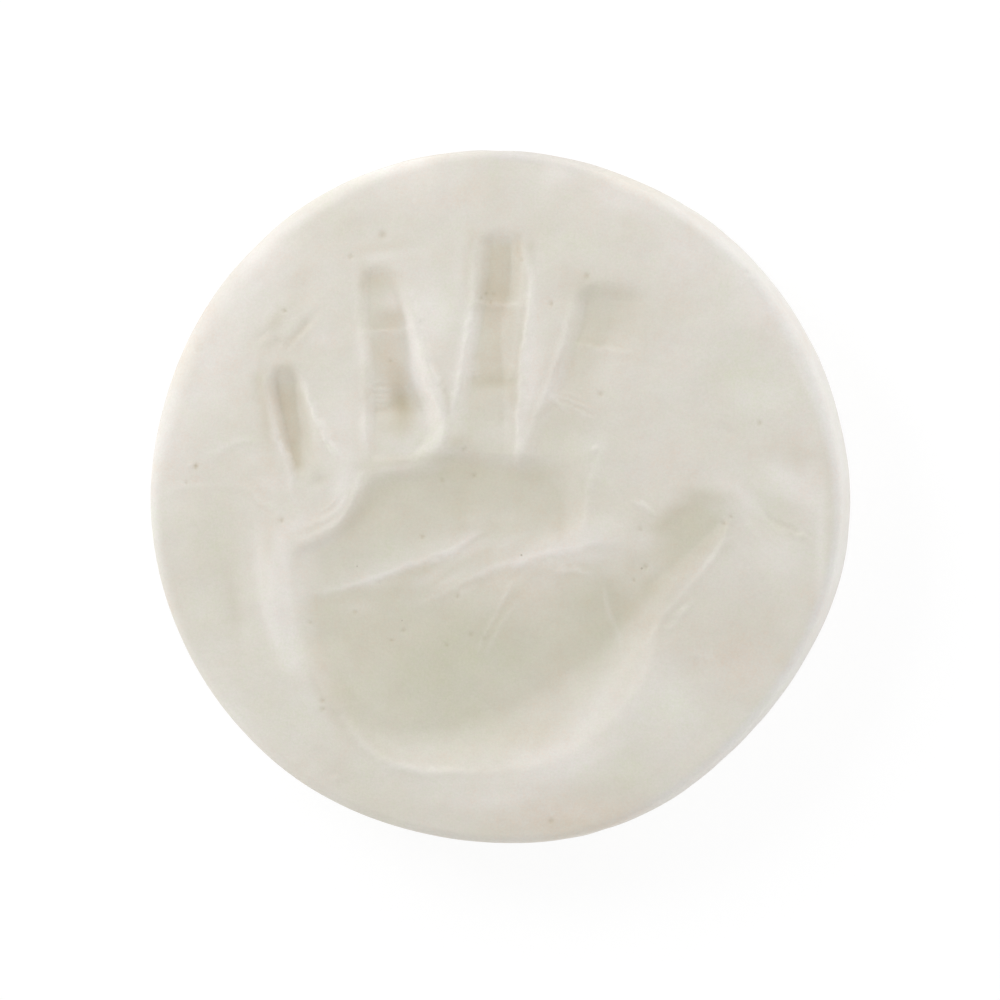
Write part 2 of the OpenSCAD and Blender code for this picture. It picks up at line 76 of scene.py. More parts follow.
# Slow waves of the face, which are sines: rows of
# [turns in a hand's length along x, the same along y, start in degrees, height]
WAVE_SHARES = np.array([
    [0.9, 0.5, 40, 0.5],
    [-0.6, 1.1, 200, 0.45],
    [1.7, -0.8, 95, 0.3],
    [1.3, 1.6, 310, 0.3],
])

# How the face's edge is around the disc: rows of [degrees, share of the softest rounding, colour],
# with the colour from 1, a painted highlight where the edge faces the light, to -1, a painted shade
# where it turns from it
RIM_SHARES = np.array([
    [0, 0.2, 1],
    [15, 0.36, 1],
    [30, 0.4, 1],
    [40, 0.25, 1],
    [52, 0.25, 0.7],
    [64, 0.24, 0.2],
    [75, 0.15, -0.5],
    [86, 0.08, -0.9],
    [92, 0.05, -0.5],
    [108, 0.38, 0.2],
    [128, 0.50, -0.2],
    [134, 0.85, -0.2],
    [140, 0.66, -0.3],
    [150, 0.7, -0.2],
    [165, 0.7, 0.5],
    [180, 0.35, 0.6],
    [200, 0.3, 0.2],
    [225, 0.4, 0],
    [240, 0.25, 0],
    [265, 0.1, -0.2],
    [285, 0.1, 0],
    [300, 0.15, 0.6],
    [315, 0.15, 0.9],
    [340, 0.15, 1],
    [360, 0.2, 1],
])

# Every place of the print is a share of the hand's length, from the middle of the palm.
# Outline of the palm, anticlockwise from the right: rows of
# [x, y, width of the wall, depth, how softly the wall starts to fall]
PALM_SHARES = np.array([
    [0.392, 0.010, 0.100, 0.82, 0.3],
    [0.400, 0.060, 0.100, 0.7, 0.4],
    [0.385, 0.105, 0.110, 0.6, 0.6],
    [0.350, 0.140, 0.100, 0.5, 0.6],
    [0.300, 0.164, 0.105, 0.44, 0.6],
    [0.270, 0.200, 0.100, 0.40, 0.6],
    [0.256, 0.250, 0.085, 0.40, 0.6],
    [0.240, 0.290, 0.075, 0.42, 0.6],
    [0.205, 0.318, 0.065, 0.42, 0.6],
    [0.160, 0.325, 0.050, 0.45, 0.4],
    [0.120, 0.318, 0.045, 0.46, 0.3],
    [0.070, 0.325, 0.045, 0.48, 0.3],
    [0.020, 0.335, 0.045, 0.48, 0.3],
    [-0.018, 0.331, 0.042, 0.46, 0.3],
    [-0.046, 0.305, 0.040, 0.42, 0.3],
    [-0.084, 0.290, 0.040, 0.38, 0.3],
    [-0.120, 0.286, 0.038, 0.36, 0.3],
    [-0.155, 0.280, 0.036, 0.35, 0.3],
    [-0.170, 0.260, 0.034, 0.35, 0.3],
    [-0.182, 0.231, 0.034, 0.35, 0.3],
    [-0.200, 0.201, 0.034, 0.35, 0.3],
    [-0.231, 0.172, 0.034, 0.36, 0.3],
    [-0.262, 0.154, 0.034, 0.38, 0.3],
    [-0.296, 0.144, 0.040, 0.40, 0.6],
    [-0.318, 0.134, 0.054, 0.42, 0.6],
    [-0.320, 0.080, 0.062, 0.46, 0.6],
    [-0.316, 0.020, 0.060, 0.48, 0.6],
    [-0.304, -0.043, 0.058, 0.46, 0.6],
    [-0.280, -0.105, 0.065, 0.32, 0.6],
    [-0.250, -0.158, 0.065, 0.27, 0.6],
    [-0.216, -0.205, 0.066, 0.27, 0.6],
    [-0.178, -0.240, 0.072, 0.34, 0.5],
    [-0.128, -0.265, 0.085, 0.50, 0.4],
    [-0.061, -0.280, 0.105, 0.72, 0.3],
    [0.020, -0.284, 0.125, 0.92, 0.3],
    [0.100, -0.282, 0.140, 1, 0.35],
    [0.203, -0.260, 0.160, 1.05, 0.4],
    [0.290, -0.205, 0.170, 1.05, 0.4],
    [0.360, -0.118, 0.150, 1, 0.4],
    [0.386, -0.050, 0.120, 0.9, 0.4],
])
# Middle of the palm's outline, and the depth of the floor there
PALM_MID_SHARES = (0.03, 0.02)
PALM_MID_DEPTH_SHARE = 0.85
# Degrees to both sides over which the palm's rows are averaged
PALM_EASE = 3.0

# Prints of the fingers: rows of [along, left edge, right edge, depth, left wall, right wall, lean],
# from the palm to the tip. A positive lean makes the floor deeper towards its right edge.
LITTLE_SHARES = np.array([
    [0.24, -0.298, -0.225, 0.1, 0.014, 0.050, 0],
    [0.28, -0.304, -0.230, 0.35, 0.014, 0.056, 0],
    [0.32, -0.318, -0.236, 0.65, 0.014, 0.050, 0],
    [0.35, -0.328, -0.244, 0.85, 0.016, 0.042, 0],
    [0.388, -0.340, -0.254, 0.95, 0.018, 0.038, 0],
    [0.413, -0.345, -0.262, 0.95, 0.018, 0.032, 0],
    [0.439, -0.348, -0.270, 0.85, 0.018, 0.026, 0],
    [0.48, -0.348, -0.274, 0.7, 0.018, 0.024, 0],
])
RING_SHARES = np.array([
    [0.29, -0.158, -0.060, 0.15, 0.014, 0.028, 0],
    [0.31, -0.160, -0.045, 0.3, 0.014, 0.030, 0.1],
    [0.34, -0.161, -0.018, 0.4, 0.014, 0.034, 0.2],
    [0.37, -0.161, -0.012, 0.6, 0.014, 0.038, 0.3],
    [0.395, -0.161, -0.018, 0.95, 0.016, 0.042, 0.4],
    [0.42, -0.162, -0.028, 0.95, 0.016, 0.042, 0.5],
    [0.45, -0.160, -0.038, 0.75, 0.016, 0.040, 0.5],
    [0.478, -0.162, -0.047, 0.62, 0.016, 0.036, 0.5],
    [0.53, -0.168, -0.062, 0.55, 0.016, 0.026, 0.4],
    [0.56, -0.171, -0.069, 0.52, 0.016, 0.022, 0.2],
    [0.60, -0.174, -0.080, 0.5, 0.018, 0.024, -0.2],
    [0.66, -0.174, -0.088, 0.45, 0.020, 0.040, -0.3],
])
MIDDLE_SHARES = np.array([
    [0.30, 0.002, 0.122, 0.32, 0.030, 0.030, 0],
    [0.364, 0.001, 0.122, 0.36, 0.028, 0.030, 0],
    [0.40, 0.006, 0.122, 0.38, 0.026, 0.030, 0],
    [0.42, 0.010, 0.122, 0.45, 0.024, 0.032, 0],
    [0.445, 0.014, 0.124, 0.56, 0.022, 0.034, 0],
    [0.48, 0.020, 0.127, 0.54, 0.020, 0.038, 0],
    [0.52, 0.028, 0.130, 0.56, 0.020, 0.044, 0],
    [0.56, 0.036, 0.137, 0.62, 0.018, 0.052, 0],
    [0.585, 0.039, 0.141, 0.68, 0.020, 0.046, 0],
    [0.60, 0.040, 0.141, 0.76, 0.022, 0.040, 0],
    [0.64, 0.041, 0.139, 0.85, 0.024, 0.034, 0.1],
    [0.69, 0.041, 0.136, 0.85, 0.028, 0.032, 0.1],
    [0.73, 0.041, 0.133, 0.7, 0.030, 0.030, 0.1],
])
INDEX_SHARES = np.array([
    [0.27, 0.112, 0.240, 0.3, 0.024, 0.060, -0.1],
    [0.314, 0.129, 0.270, 0.4, 0.024, 0.080, -0.2],
    [0.359, 0.144, 0.295, 0.45, 0.024, 0.090, -0.2],
    [0.403, 0.164, 0.310, 0.5, 0.024, 0.090, -0.2],
    [0.453, 0.183, 0.330, 0.6, 0.024, 0.090, -0.2],
    [0.491, 0.195, 0.350, 0.7, 0.026, 0.090, -0.1],
    [0.515, 0.203, 0.365, 0.85, 0.024, 0.090, -0.1],
    [0.529, 0.208, 0.372, 0.95, 0.024, 0.090, -0.2],
    [0.56, 0.214, 0.380, 1, 0.026, 0.090, -0.2],
    [0.63, 0.222, 0.382, 1, 0.030, 0.085, -0.2],
])
THUMB_SHARES = np.array([
    [-0.06, -0.150, 0.105, 1.1, 0.090, 0.070, 0],
    [0.00, -0.145, 0.100, 1.1, 0.090, 0.068, 0],
    [0.06, -0.120, 0.096, 0.9, 0.085, 0.062, 0],
    [0.11, -0.084, 0.092, 0.68, 0.080, 0.062, 0],
    [0.16, -0.064, 0.089, 0.54, 0.072, 0.054, 0],
    [0.20, -0.055, 0.087, 0.48, 0.064, 0.046, 0],
    [0.24, -0.051, 0.085, 0.44, 0.056, 0.040, 0],
    [0.28, -0.047, 0.082, 0.42, 0.048, 0.034, 0],
    [0.31, -0.044, 0.079, 0.42, 0.042, 0.030, 0],
    [0.36, -0.040, 0.076, 0.42, 0.036, 0.028, 0],
])
# Where each finger's rows start and which way they run:
# (x, y, turn in degrees, tip along the rows, length of the round tip, length of the fade at the palm)
LITTLE_PLACE_SHARES = (0, 0, 90, 0.480, 0.040, 0.05)
RING_PLACE_SHARES = (0, 0, 90, 0.662, 0.030, 0.02)
MIDDLE_PLACE_SHARES = (0, 0, 90, 0.728, 0.036, 0.02)
INDEX_PLACE_SHARES = (0, 0, 90, 0.635, 0.045, 0.03)
THUMB_PLACE_SHARES = (0.24, 0, 47, 0.354, 0.050, 0.08)
# How far to both sides the rows of a finger or a ridge are averaged
ROW_EASE_SHARE = 0.010
# How softly the walls of the fingers start to fall, and how much the walls bend towards their foot
FINGER_START_SHARE = 0.15
FINGER_BEND = 1.3
PALM_BEND = 1.9
# Length over which a wall's slope is read, and the slope that counts as steep
SLOPE_REACH = 0.3 * MM
STEEP_SLOPE = 0.4

# How dark the painted shade is in each print, where it pressed hardest
PALM_SHADE_SHARE = 1.0
THUMB_SHADE_SHARE = 1.2
INDEX_SHADE_SHARE = 0.42
MIDDLE_SHADE_SHARE = 0.75
RING_SHADE_SHARE = 0.5
LITTLE_SHADE_SHARE = 0.78

# Ridges along x or y: (way, width on the low side, width on the high side, rows). Way "y" has rows
# of [y, x, height] and way "x" rows of [x, y, height]. Heights are shares of the ridges' height.
RIDGE_SHARES = (
    ("y", 0.026, 0.024, [
        [-0.16, -0.285, 0], [-0.105, -0.297, 0.2], [-0.056, -0.308, 0.55],
        [-0.025, -0.317, 0.9], [0.048, -0.331, 1.4], [0.097, -0.335, 1.4], [0.130, -0.338, 1.1],
        [0.160, -0.341, 0.5], [0.190, -0.345, 0.2], [0.23, -0.350, 0]]),
    ("x", 0.008, 0.040, [
        [-0.29, 0.048, 0], [-0.262, 0.054, 0.08], [-0.223, 0.061, 0.16], [-0.169, 0.076, 0.24],
        [-0.123, 0.094, 0.27], [-0.077, 0.110, 0.28], [-0.031, 0.125, 0.32], [0.007, 0.140, 0.36],
        [0.030, 0.156, 0.32], [0.050, 0.172, 0.2], [0.075, 0.186, 0]]),
    ("x", 0.009, 0.040, [
        [-0.10, 0.026, 0], [-0.039, 0.048, 0.08], [0, 0.067, 0.14], [0.030, 0.085, 0.2],
        [0.076, 0.103, 0.28], [0.122, 0.116, 0.36], [0.167, 0.129, 0.44], [0.213, 0.140, 0.46],
        [0.258, 0.152, 0.38], [0.30, 0.162, 0.22], [0.34, 0.172, 0]]),
)

# Lips and lines drawn through points: (width on the left, width on the right, points), seen along
# the points. Points are [x, y, height], with the height as a share of the lips' height.
LIP_SHARES = (
    (0.010, 0.004, [
        [-0.298, 0.250, 0.1], [-0.302, 0.290, 0.6], [-0.320, 0.325, 0.8], [-0.340, 0.388, 0.7],
        [-0.350, 0.433, 0.5], [-0.350, 0.455, 0.1]]),
    (0.004, 0.009, [
        [-0.218, 0.300, 0.1], [-0.225, 0.316, 1], [-0.241, 0.350, 1], [-0.260, 0.388, 0.8],
        [-0.280, 0.433, 0.3], [-0.286, 0.450, 0.1]]),
    (0.010, 0.004, [
        [-0.162, 0.300, 0.1], [-0.161, 0.350, 0.5], [-0.158, 0.420, 0.6], [-0.162, 0.500, 0.5],
        [-0.169, 0.560, 0.4], [-0.172, 0.600, 0.3], [-0.173, 0.645, 0.1]]),
    (0.016, 0.006, [
        [-0.075, 0.302, 0.2], [-0.035, 0.318, 0.4], [-0.017, 0.348, 0.6], [-0.015, 0.385, 0.6],
        [-0.030, 0.440, 0.9], [-0.045, 0.478, 1], [-0.061, 0.541, 0.85], [-0.080, 0.605, 0.4]]),
    (0.008, 0.003, [
        [-0.004, 0.360, 0.1], [0.000, 0.390, 0.3], [0.011, 0.440, 0.6], [0.024, 0.509, 0.6],
        [0.036, 0.585, 0.6], [0.039, 0.660, 0.4], [0.040, 0.700, 0.1]]),
    (0.005, 0.012, [
        [0.120, 0.300, 0.2], [0.121, 0.330, 0.7], [0.122, 0.390, 0.7], [0.126, 0.466, 0.7],
        [0.132, 0.522, 0.8], [0.141, 0.585, 0.9], [0.141, 0.642, 0.6], [0.132, 0.690, 0.1]]),
    (0.008, 0.003, [
        [0.120, 0.300, 0.1], [0.126, 0.314, 0.3], [0.143, 0.359, 0.4], [0.162, 0.403, 0.5],
        [0.182, 0.450, 0.7], [0.194, 0.491, 0.6], [0.208, 0.529, 0.5], [0.217, 0.580, 0.3],
        [0.224, 0.605, 0.1]]),
    (0.008, 0.004, [
        [-0.330, 0.148, 0.1], [-0.302, 0.149, 0.15], [-0.268, 0.156, 0.25], [-0.238, 0.170, 0.4],
        [-0.213, 0.186, 0.5], [-0.195, 0.210, 0.6], [-0.180, 0.240, 0.6], [-0.171, 0.270, 0.4],
        [-0.155, 0.281, 0.12], [-0.115, 0.284, 0.15], [-0.084, 0.290, 0.15], [-0.046, 0.306, 0.15],
        [-0.024, 0.322, 0.1]]),
    (0.004, 0.006, [
        [0.348, -0.045, 0.1], [0.362, -0.018, 0.25], [0.380, 0.014, 0.3], [0.393, 0.034, 0.3],
        [0.410, 0.050, 0.25], [0.440, 0.085, 0.3], [0.457, 0.104, 0.45], [0.474, 0.126, 0.55],
        [0.488, 0.149, 0.5], [0.499, 0.172, 0.4], [0.508, 0.202, 0.1]]),
    (0.007, 0.008, [
        [-0.214, -0.130, 0.1], [-0.206, -0.158, 0.2], [-0.192, -0.190, 0.3], [-0.160, -0.229, 0.45],
        [-0.114, -0.255, 0.5], [-0.061, -0.268, 0.5], [0.010, -0.270, 0.3], [0.080, -0.270, 0.1]]),
    (0.004, 0.009, [
        [-0.168, 0.531, 0.1], [-0.145, 0.533, 0.35], [-0.105, 0.537, 0.35], [-0.078, 0.541, 0.1]]),
    (0.004, 0.009, [
        [0.036, 0.586, 0.1], [0.060, 0.584, 0.35], [0.110, 0.583, 0.4], [0.138, 0.582, 0.1]]),
    (0.004, 0.010, [
        [0.198, 0.516, 0.1], [0.230, 0.512, 0.35], [0.278, 0.504, 0.3], [0.335, 0.497, 0.1]]),
    (0.005, 0.008, [
        [-0.155, 0.292, 0.15], [-0.110, 0.298, 0.2], [-0.065, 0.312, 0.15]]),
    (0.010, 0.006, [
        [0.272, 0.353, 0.1], [0.263, 0.290, 0.3], [0.245, 0.249, 0.4], [0.246, 0.204, 0.4],
        [0.231, 0.173, 0.1]]),
    (0.007, 0.005, [
        [0.330, 0.230, 0.2], [0.352, 0.214, 0.7], [0.370, 0.204, 0.2]]),
    (0.009, 0.004, [
        [-0.459, 0.296, 0.1], [-0.421, 0.321, 0.25], [-0.383, 0.333, 0.3], [-0.352, 0.327, 0.1]]),
    (0.009, 0.005, [
        [-0.547, 0.231, 0.1], [-0.509, 0.246, 0.25], [-0.446, 0.250, 0.15], [-0.383, 0.244, 0.2],
        [-0.358, 0.220, 0.35], [-0.327, 0.202, 0.1]]),
    (0.006, 0.006, [
        [-0.299, 0.278, 0.1], [-0.302, 0.251, 0.25], [-0.296, 0.220, 0.25], [-0.283, 0.196, 0.1]]),
    (0.012, 0.008, [
        [0.515, 0.222, 0.1], [0.547, 0.182, 0.4], [0.573, 0.145, 0.1]]),
)

# Dents and swellings: rows of [x, y, half length, half width, turn in degrees, height]
DENT_SHARES = (
    (-0.100, 0.412, 0.022, 0.018, 0, -0.6),
    (-0.123, 0.560, 0.022, 0.016, 10, -0.25),
    (0.070, 0.443, 0.035, 0.012, 0, -0.15),
    (-0.095, 0.345, 0.045, 0.030, 0, 0.3),
    (-0.200, 0.285, 0.020, 0.026, 0, 0.5),
    (-0.252, 0.262, 0.018, 0.011, 25, -0.35),
    (-0.365, 0.425, 0.040, 0.010, 98, -0.3),
    (-0.440, 0.090, 0.040, 0.110, 8, -0.9),
    (-0.405, 0.020, 0.022, 0.080, 8, -0.5),
    (0.010, -0.080, 0.160, 0.120, 0, -0.3),
    (0.100, 0.230, 0.120, 0.040, 0, -0.3),
    (-0.030, 0.500, 0.040, 0.100, 0, 0.2),
    (0.160, 0.460, 0.030, 0.100, -12, 0.2),
    (0.585, 0.200, 0.045, 0.030, -40, -0.5),
    (0.550, 0.500, 0.050, 0.050, 0, -0.3),
    (0.260, 0.322, 0.005, 0.005, 0, 0.5),
    (0.635, 0.170, 0.008, 0.007, 0, 0.5),
    (-0.355, 0.527, 0.016, 0.006, 40, -0.25),
    (-0.325, 0.515, 0.010, 0.005, 120, -0.25),
    (-0.220, -0.285, 0.010, 0.006, 20, 0.3),
    (0.505, 0.354, 0.018, 0.006, -40, -0.3),
    (-0.270, 0.552, 0.026, 0.008, 45, -0.4),
)

# Stains where skin left the clay darker, with painted shade under creases, lips and the edge: rows of
# [x, y, half length, half width, turn, strength]
STAIN_AND_SHADE_SHARES = (
    (-0.316, 0.410, 0.045, 0.028, 99, 0.12),
    (-0.296, 0.320, 0.040, 0.012, 98, 0.35),
    (-0.280, 0.360, 0.050, 0.014, 98, 0.08),
    (-0.352, 0.408, 0.070, 0.014, 98, 0.32),
    (-0.360, 0.345, 0.030, 0.024, 0, 0.12),
    (-0.290, 0.425, 0.060, 0.010, 108, 0.16),
    (-0.364, 0.444, 0.018, 0.010, 98, 0.16),
    (-0.312, 0.340, 0.030, 0.010, 98, 0.2),
    (-0.318, 0.466, 0.028, 0.012, 0, 0.2),
    (-0.338, 0.512, 0.030, 0.012, 20, 0.16),
    (-0.272, 0.335, 0.040, 0.012, 108, 0.12),
    (-0.096, 0.400, 0.026, 0.017, 110, 0.6),
    (-0.120, 0.400, 0.026, 0.010, 20, 0.15),
    (-0.164, 0.440, 0.040, 0.008, 90, 0.15),
    (-0.102, 0.362, 0.024, 0.024, 0, 0.26),
    (-0.104, 0.445, 0.030, 0.018, 90, 0.25),
    (-0.148, 0.626, 0.028, 0.024, 0, 0.26),
    (-0.138, 0.542, 0.030, 0.010, 0, 0.14),
    (-0.150, 0.560, 0.026, 0.020, 0, 0.12),
    (-0.170, 0.600, 0.060, 0.010, 90, 0.16),
    (-0.104, 0.600, 0.028, 0.010, 105, 0.2),
    (-0.112, 0.560, 0.024, 0.012, 15, 0.2),
    (-0.086, 0.600, 0.030, 0.008, 105, 0.16),
    (-0.130, 0.500, 0.050, 0.036, 90, 0.15),
    (0.085, 0.640, 0.050, 0.030, 90, 0.12),
    (0.116, 0.645, 0.036, 0.010, 92, 0.24),
    (0.142, 0.685, 0.026, 0.010, 92, 0.2),
    (0.120, 0.688, 0.024, 0.009, 92, 0.26),
    (0.024, 0.650, 0.036, 0.008, 91, 0.14),
    (0.057, 0.635, 0.060, 0.014, 91, 0.2),
    (0.106, 0.520, 0.060, 0.010, 88, 0.14),
    (0.122, 0.500, 0.060, 0.007, 86, 0.2),
    (0.106, 0.440, 0.030, 0.008, 80, 0.14),
    (-0.013, 0.412, 0.030, 0.006, 100, 0.2),
    (0.130, 0.610, 0.050, 0.008, 90, 0.12),
    (0.114, 0.415, 0.018, 0.010, 88, 0.2),
    (0.180, 0.400, 0.030, 0.010, 35, 0.16),
    (0.060, 0.580, 0.030, 0.012, 0, 0.2),
    (0.098, 0.600, 0.020, 0.020, 0, 0.15),
    (0.078, 0.520, 0.050, 0.026, 90, 0.08),
    (0.078, 0.443, 0.042, 0.013, 0, 0.36),
    (0.096, 0.462, 0.030, 0.009, 0, 0.14),
    (0.420, 0.214, 0.030, 0.010, 10, 0.24),
    (0.400, 0.160, 0.060, 0.035, 47, 0.08),
    (0.350, 0.060, 0.060, 0.026, 47, 0.22),
    (0.365, 0.020, 0.050, 0.014, 50, 0.12),
    (0.455, 0.143, 0.055, 0.010, 48, 0.2),
    (0.498, 0.145, 0.030, 0.012, 50, 0.12),
    (0.450, 0.228, 0.050, 0.010, 0, 0.12),
    (0.470, 0.240, 0.050, 0.010, -3, 0.14),
    (0.385, 0.186, 0.034, 0.016, 30, 0.24),
    (0.350, 0.196, 0.030, 0.014, 20, 0.12),
    (0.500, 0.180, 0.030, 0.010, 60, 0.14),
    (-0.130, 0.248, 0.055, 0.026, 35, 0.2),
    (-0.188, 0.190, 0.045, 0.018, 50, 0.28),
    (-0.192, 0.226, 0.020, 0.008, 65, 0.12),
    (-0.155, 0.282, 0.018, 0.008, 0, 0.12),
    (-0.160, 0.250, 0.030, 0.010, 65, 0.1),
    (0.020, 0.288, 0.100, 0.026, 3, 0.15),
    (0.160, 0.280, 0.050, 0.026, 0, 0.15),
    (0.250, 0.235, 0.060, 0.035, 0, 0.14),
    (0.060, 0.610, 0.034, 0.018, 0, 0.14),
    (-0.100, -0.070, 0.130, 0.060, 0, 0.08),
    (-0.246, 0.262, 0.014, 0.010, 25, 0.2),
    (0.300, 0.605, 0.040, 0.012, -5, 0.14),
    (0.245, 0.515, 0.030, 0.012, 0, 0.14),
    (0.182, 0.462, 0.034, 0.010, 65, 0.2),
    (-0.160, 0.405, 0.024, 0.006, 90, 0.2),
    (-0.070, 0.275, 0.050, 0.014, 5, 0.12),
    (0.030, 0.178, 0.040, 0.010, 5, 0.14),
    (0.034, 0.690, 0.040, 0.008, 91, 0.14),
    (-0.481, 0.287, 0.006, 0.003, 60, 0.35),
    (0.012, 0.305, 0.050, 0.012, 0, 0.14),
    (0.120, 0.100, 0.050, 0.008, 35, 0.14),
    (0.330, 0.175, 0.050, 0.010, 12, 0.08),
    (-0.290, 0.290, 0.020, 0.014, 0, 0.14),
    (-0.118, 0.690, 0.060, 0.008, 5, 0.1),
    (0.310, -0.110, 0.090, 0.016, 60, 0.1),
    (0.240, 0.612, 0.040, 0.028, 0, 0.18),
    (0.310, 0.560, 0.065, 0.050, 0, 0.15),
    (0.006, 0.334, 0.020, 0.014, 0, 0.3),
    (-0.110, 0.298, 0.070, 0.012, 8, 0.18),
    (-0.215, -0.130, 0.080, 0.024, -57, 0.2),
    (-0.225, -0.165, 0.070, 0.012, -55, 0.1),
    (-0.130, -0.235, 0.050, 0.014, -30, 0.1),
    (0.030, 0.074, 0.040, 0.010, 28, 0.2),
    (0.145, 0.098, 0.040, 0.010, 14, 0.16),
    (0.090, -0.375, 0.110, 0.014, 5, 0.12),
    (0.310, -0.330, 0.080, 0.030, 20, 0.14),
    (0.215, -0.360, 0.080, 0.016, 6, 0.12),
    (-0.240, -0.070, 0.050, 0.018, -60, 0.12),
    (0.240, 0.500, 0.040, 0.060, -10, 0.10),
    (0.200, 0.375, 0.080, 0.040, 0, 0.13),
    (0.520, 0.000, 0.100, 0.080, 0, 0.14),
    (0.400, 0.020, 0.060, 0.020, 47, 0.08),
    (0.230, -0.305, 0.120, 0.020, 12, 0.16),
    (-0.050, -0.345, 0.150, 0.030, -5, 0.08),
    (-0.210, -0.270, 0.060, 0.030, -35, 0.14),
    (-0.430, 0.150, 0.055, 0.110, 0, 0.11),
    (-0.346, 0.152, 0.034, 0.016, 90, 0.26),
    (-0.352, 0.080, 0.050, 0.010, 94, 0.12),
    (-0.410, 0.030, 0.070, 0.018, 95, 0.14),
    (-0.510, 0.070, 0.040, 0.030, 0, 0.08),
    (0.170, 0.720, 0.030, 0.060, 0, 0.06),
    (0.080, 0.780, 0.030, 0.060, 0, 0.1),
    (0.100, 0.862, 0.060, 0.008, -3, 0.3),
    (0.240, 0.785, 0.050, 0.020, -10, 0.1),
    (0.180, -0.108, 0.030, 0.020, 0, 0.14),
    (-0.180, -0.045, 0.030, 0.030, 0, 0.08),
    (0.110, 0.055, 0.060, 0.012, 48, 0.12),
    (0.420, -0.050, 0.060, 0.040, 0, 0.08),
    (0.575, 0.530, 0.040, 0.030, 0, 0.12),
    (-0.010, 0.245, 0.060, 0.030, 0, 0.08),
    (-0.320, 0.580, 0.040, 0.030, 0, 0.1),
    (0.330, 0.740, 0.060, 0.030, -30, 0.06),
    (0.640, 0.310, 0.040, 0.026, 0, 0.18),
    (0.610, 0.180, 0.040, 0.012, -30, 0.12),
    (-0.330, 0.555, 0.030, 0.014, 60, 0.2),
    (-0.285, 0.530, 0.040, 0.012, 42, 0.25),
    (-0.290, 0.620, 0.030, 0.020, 30, 0.08),
    (-0.200, 0.720, 0.060, 0.020, 20, 0.08),
)
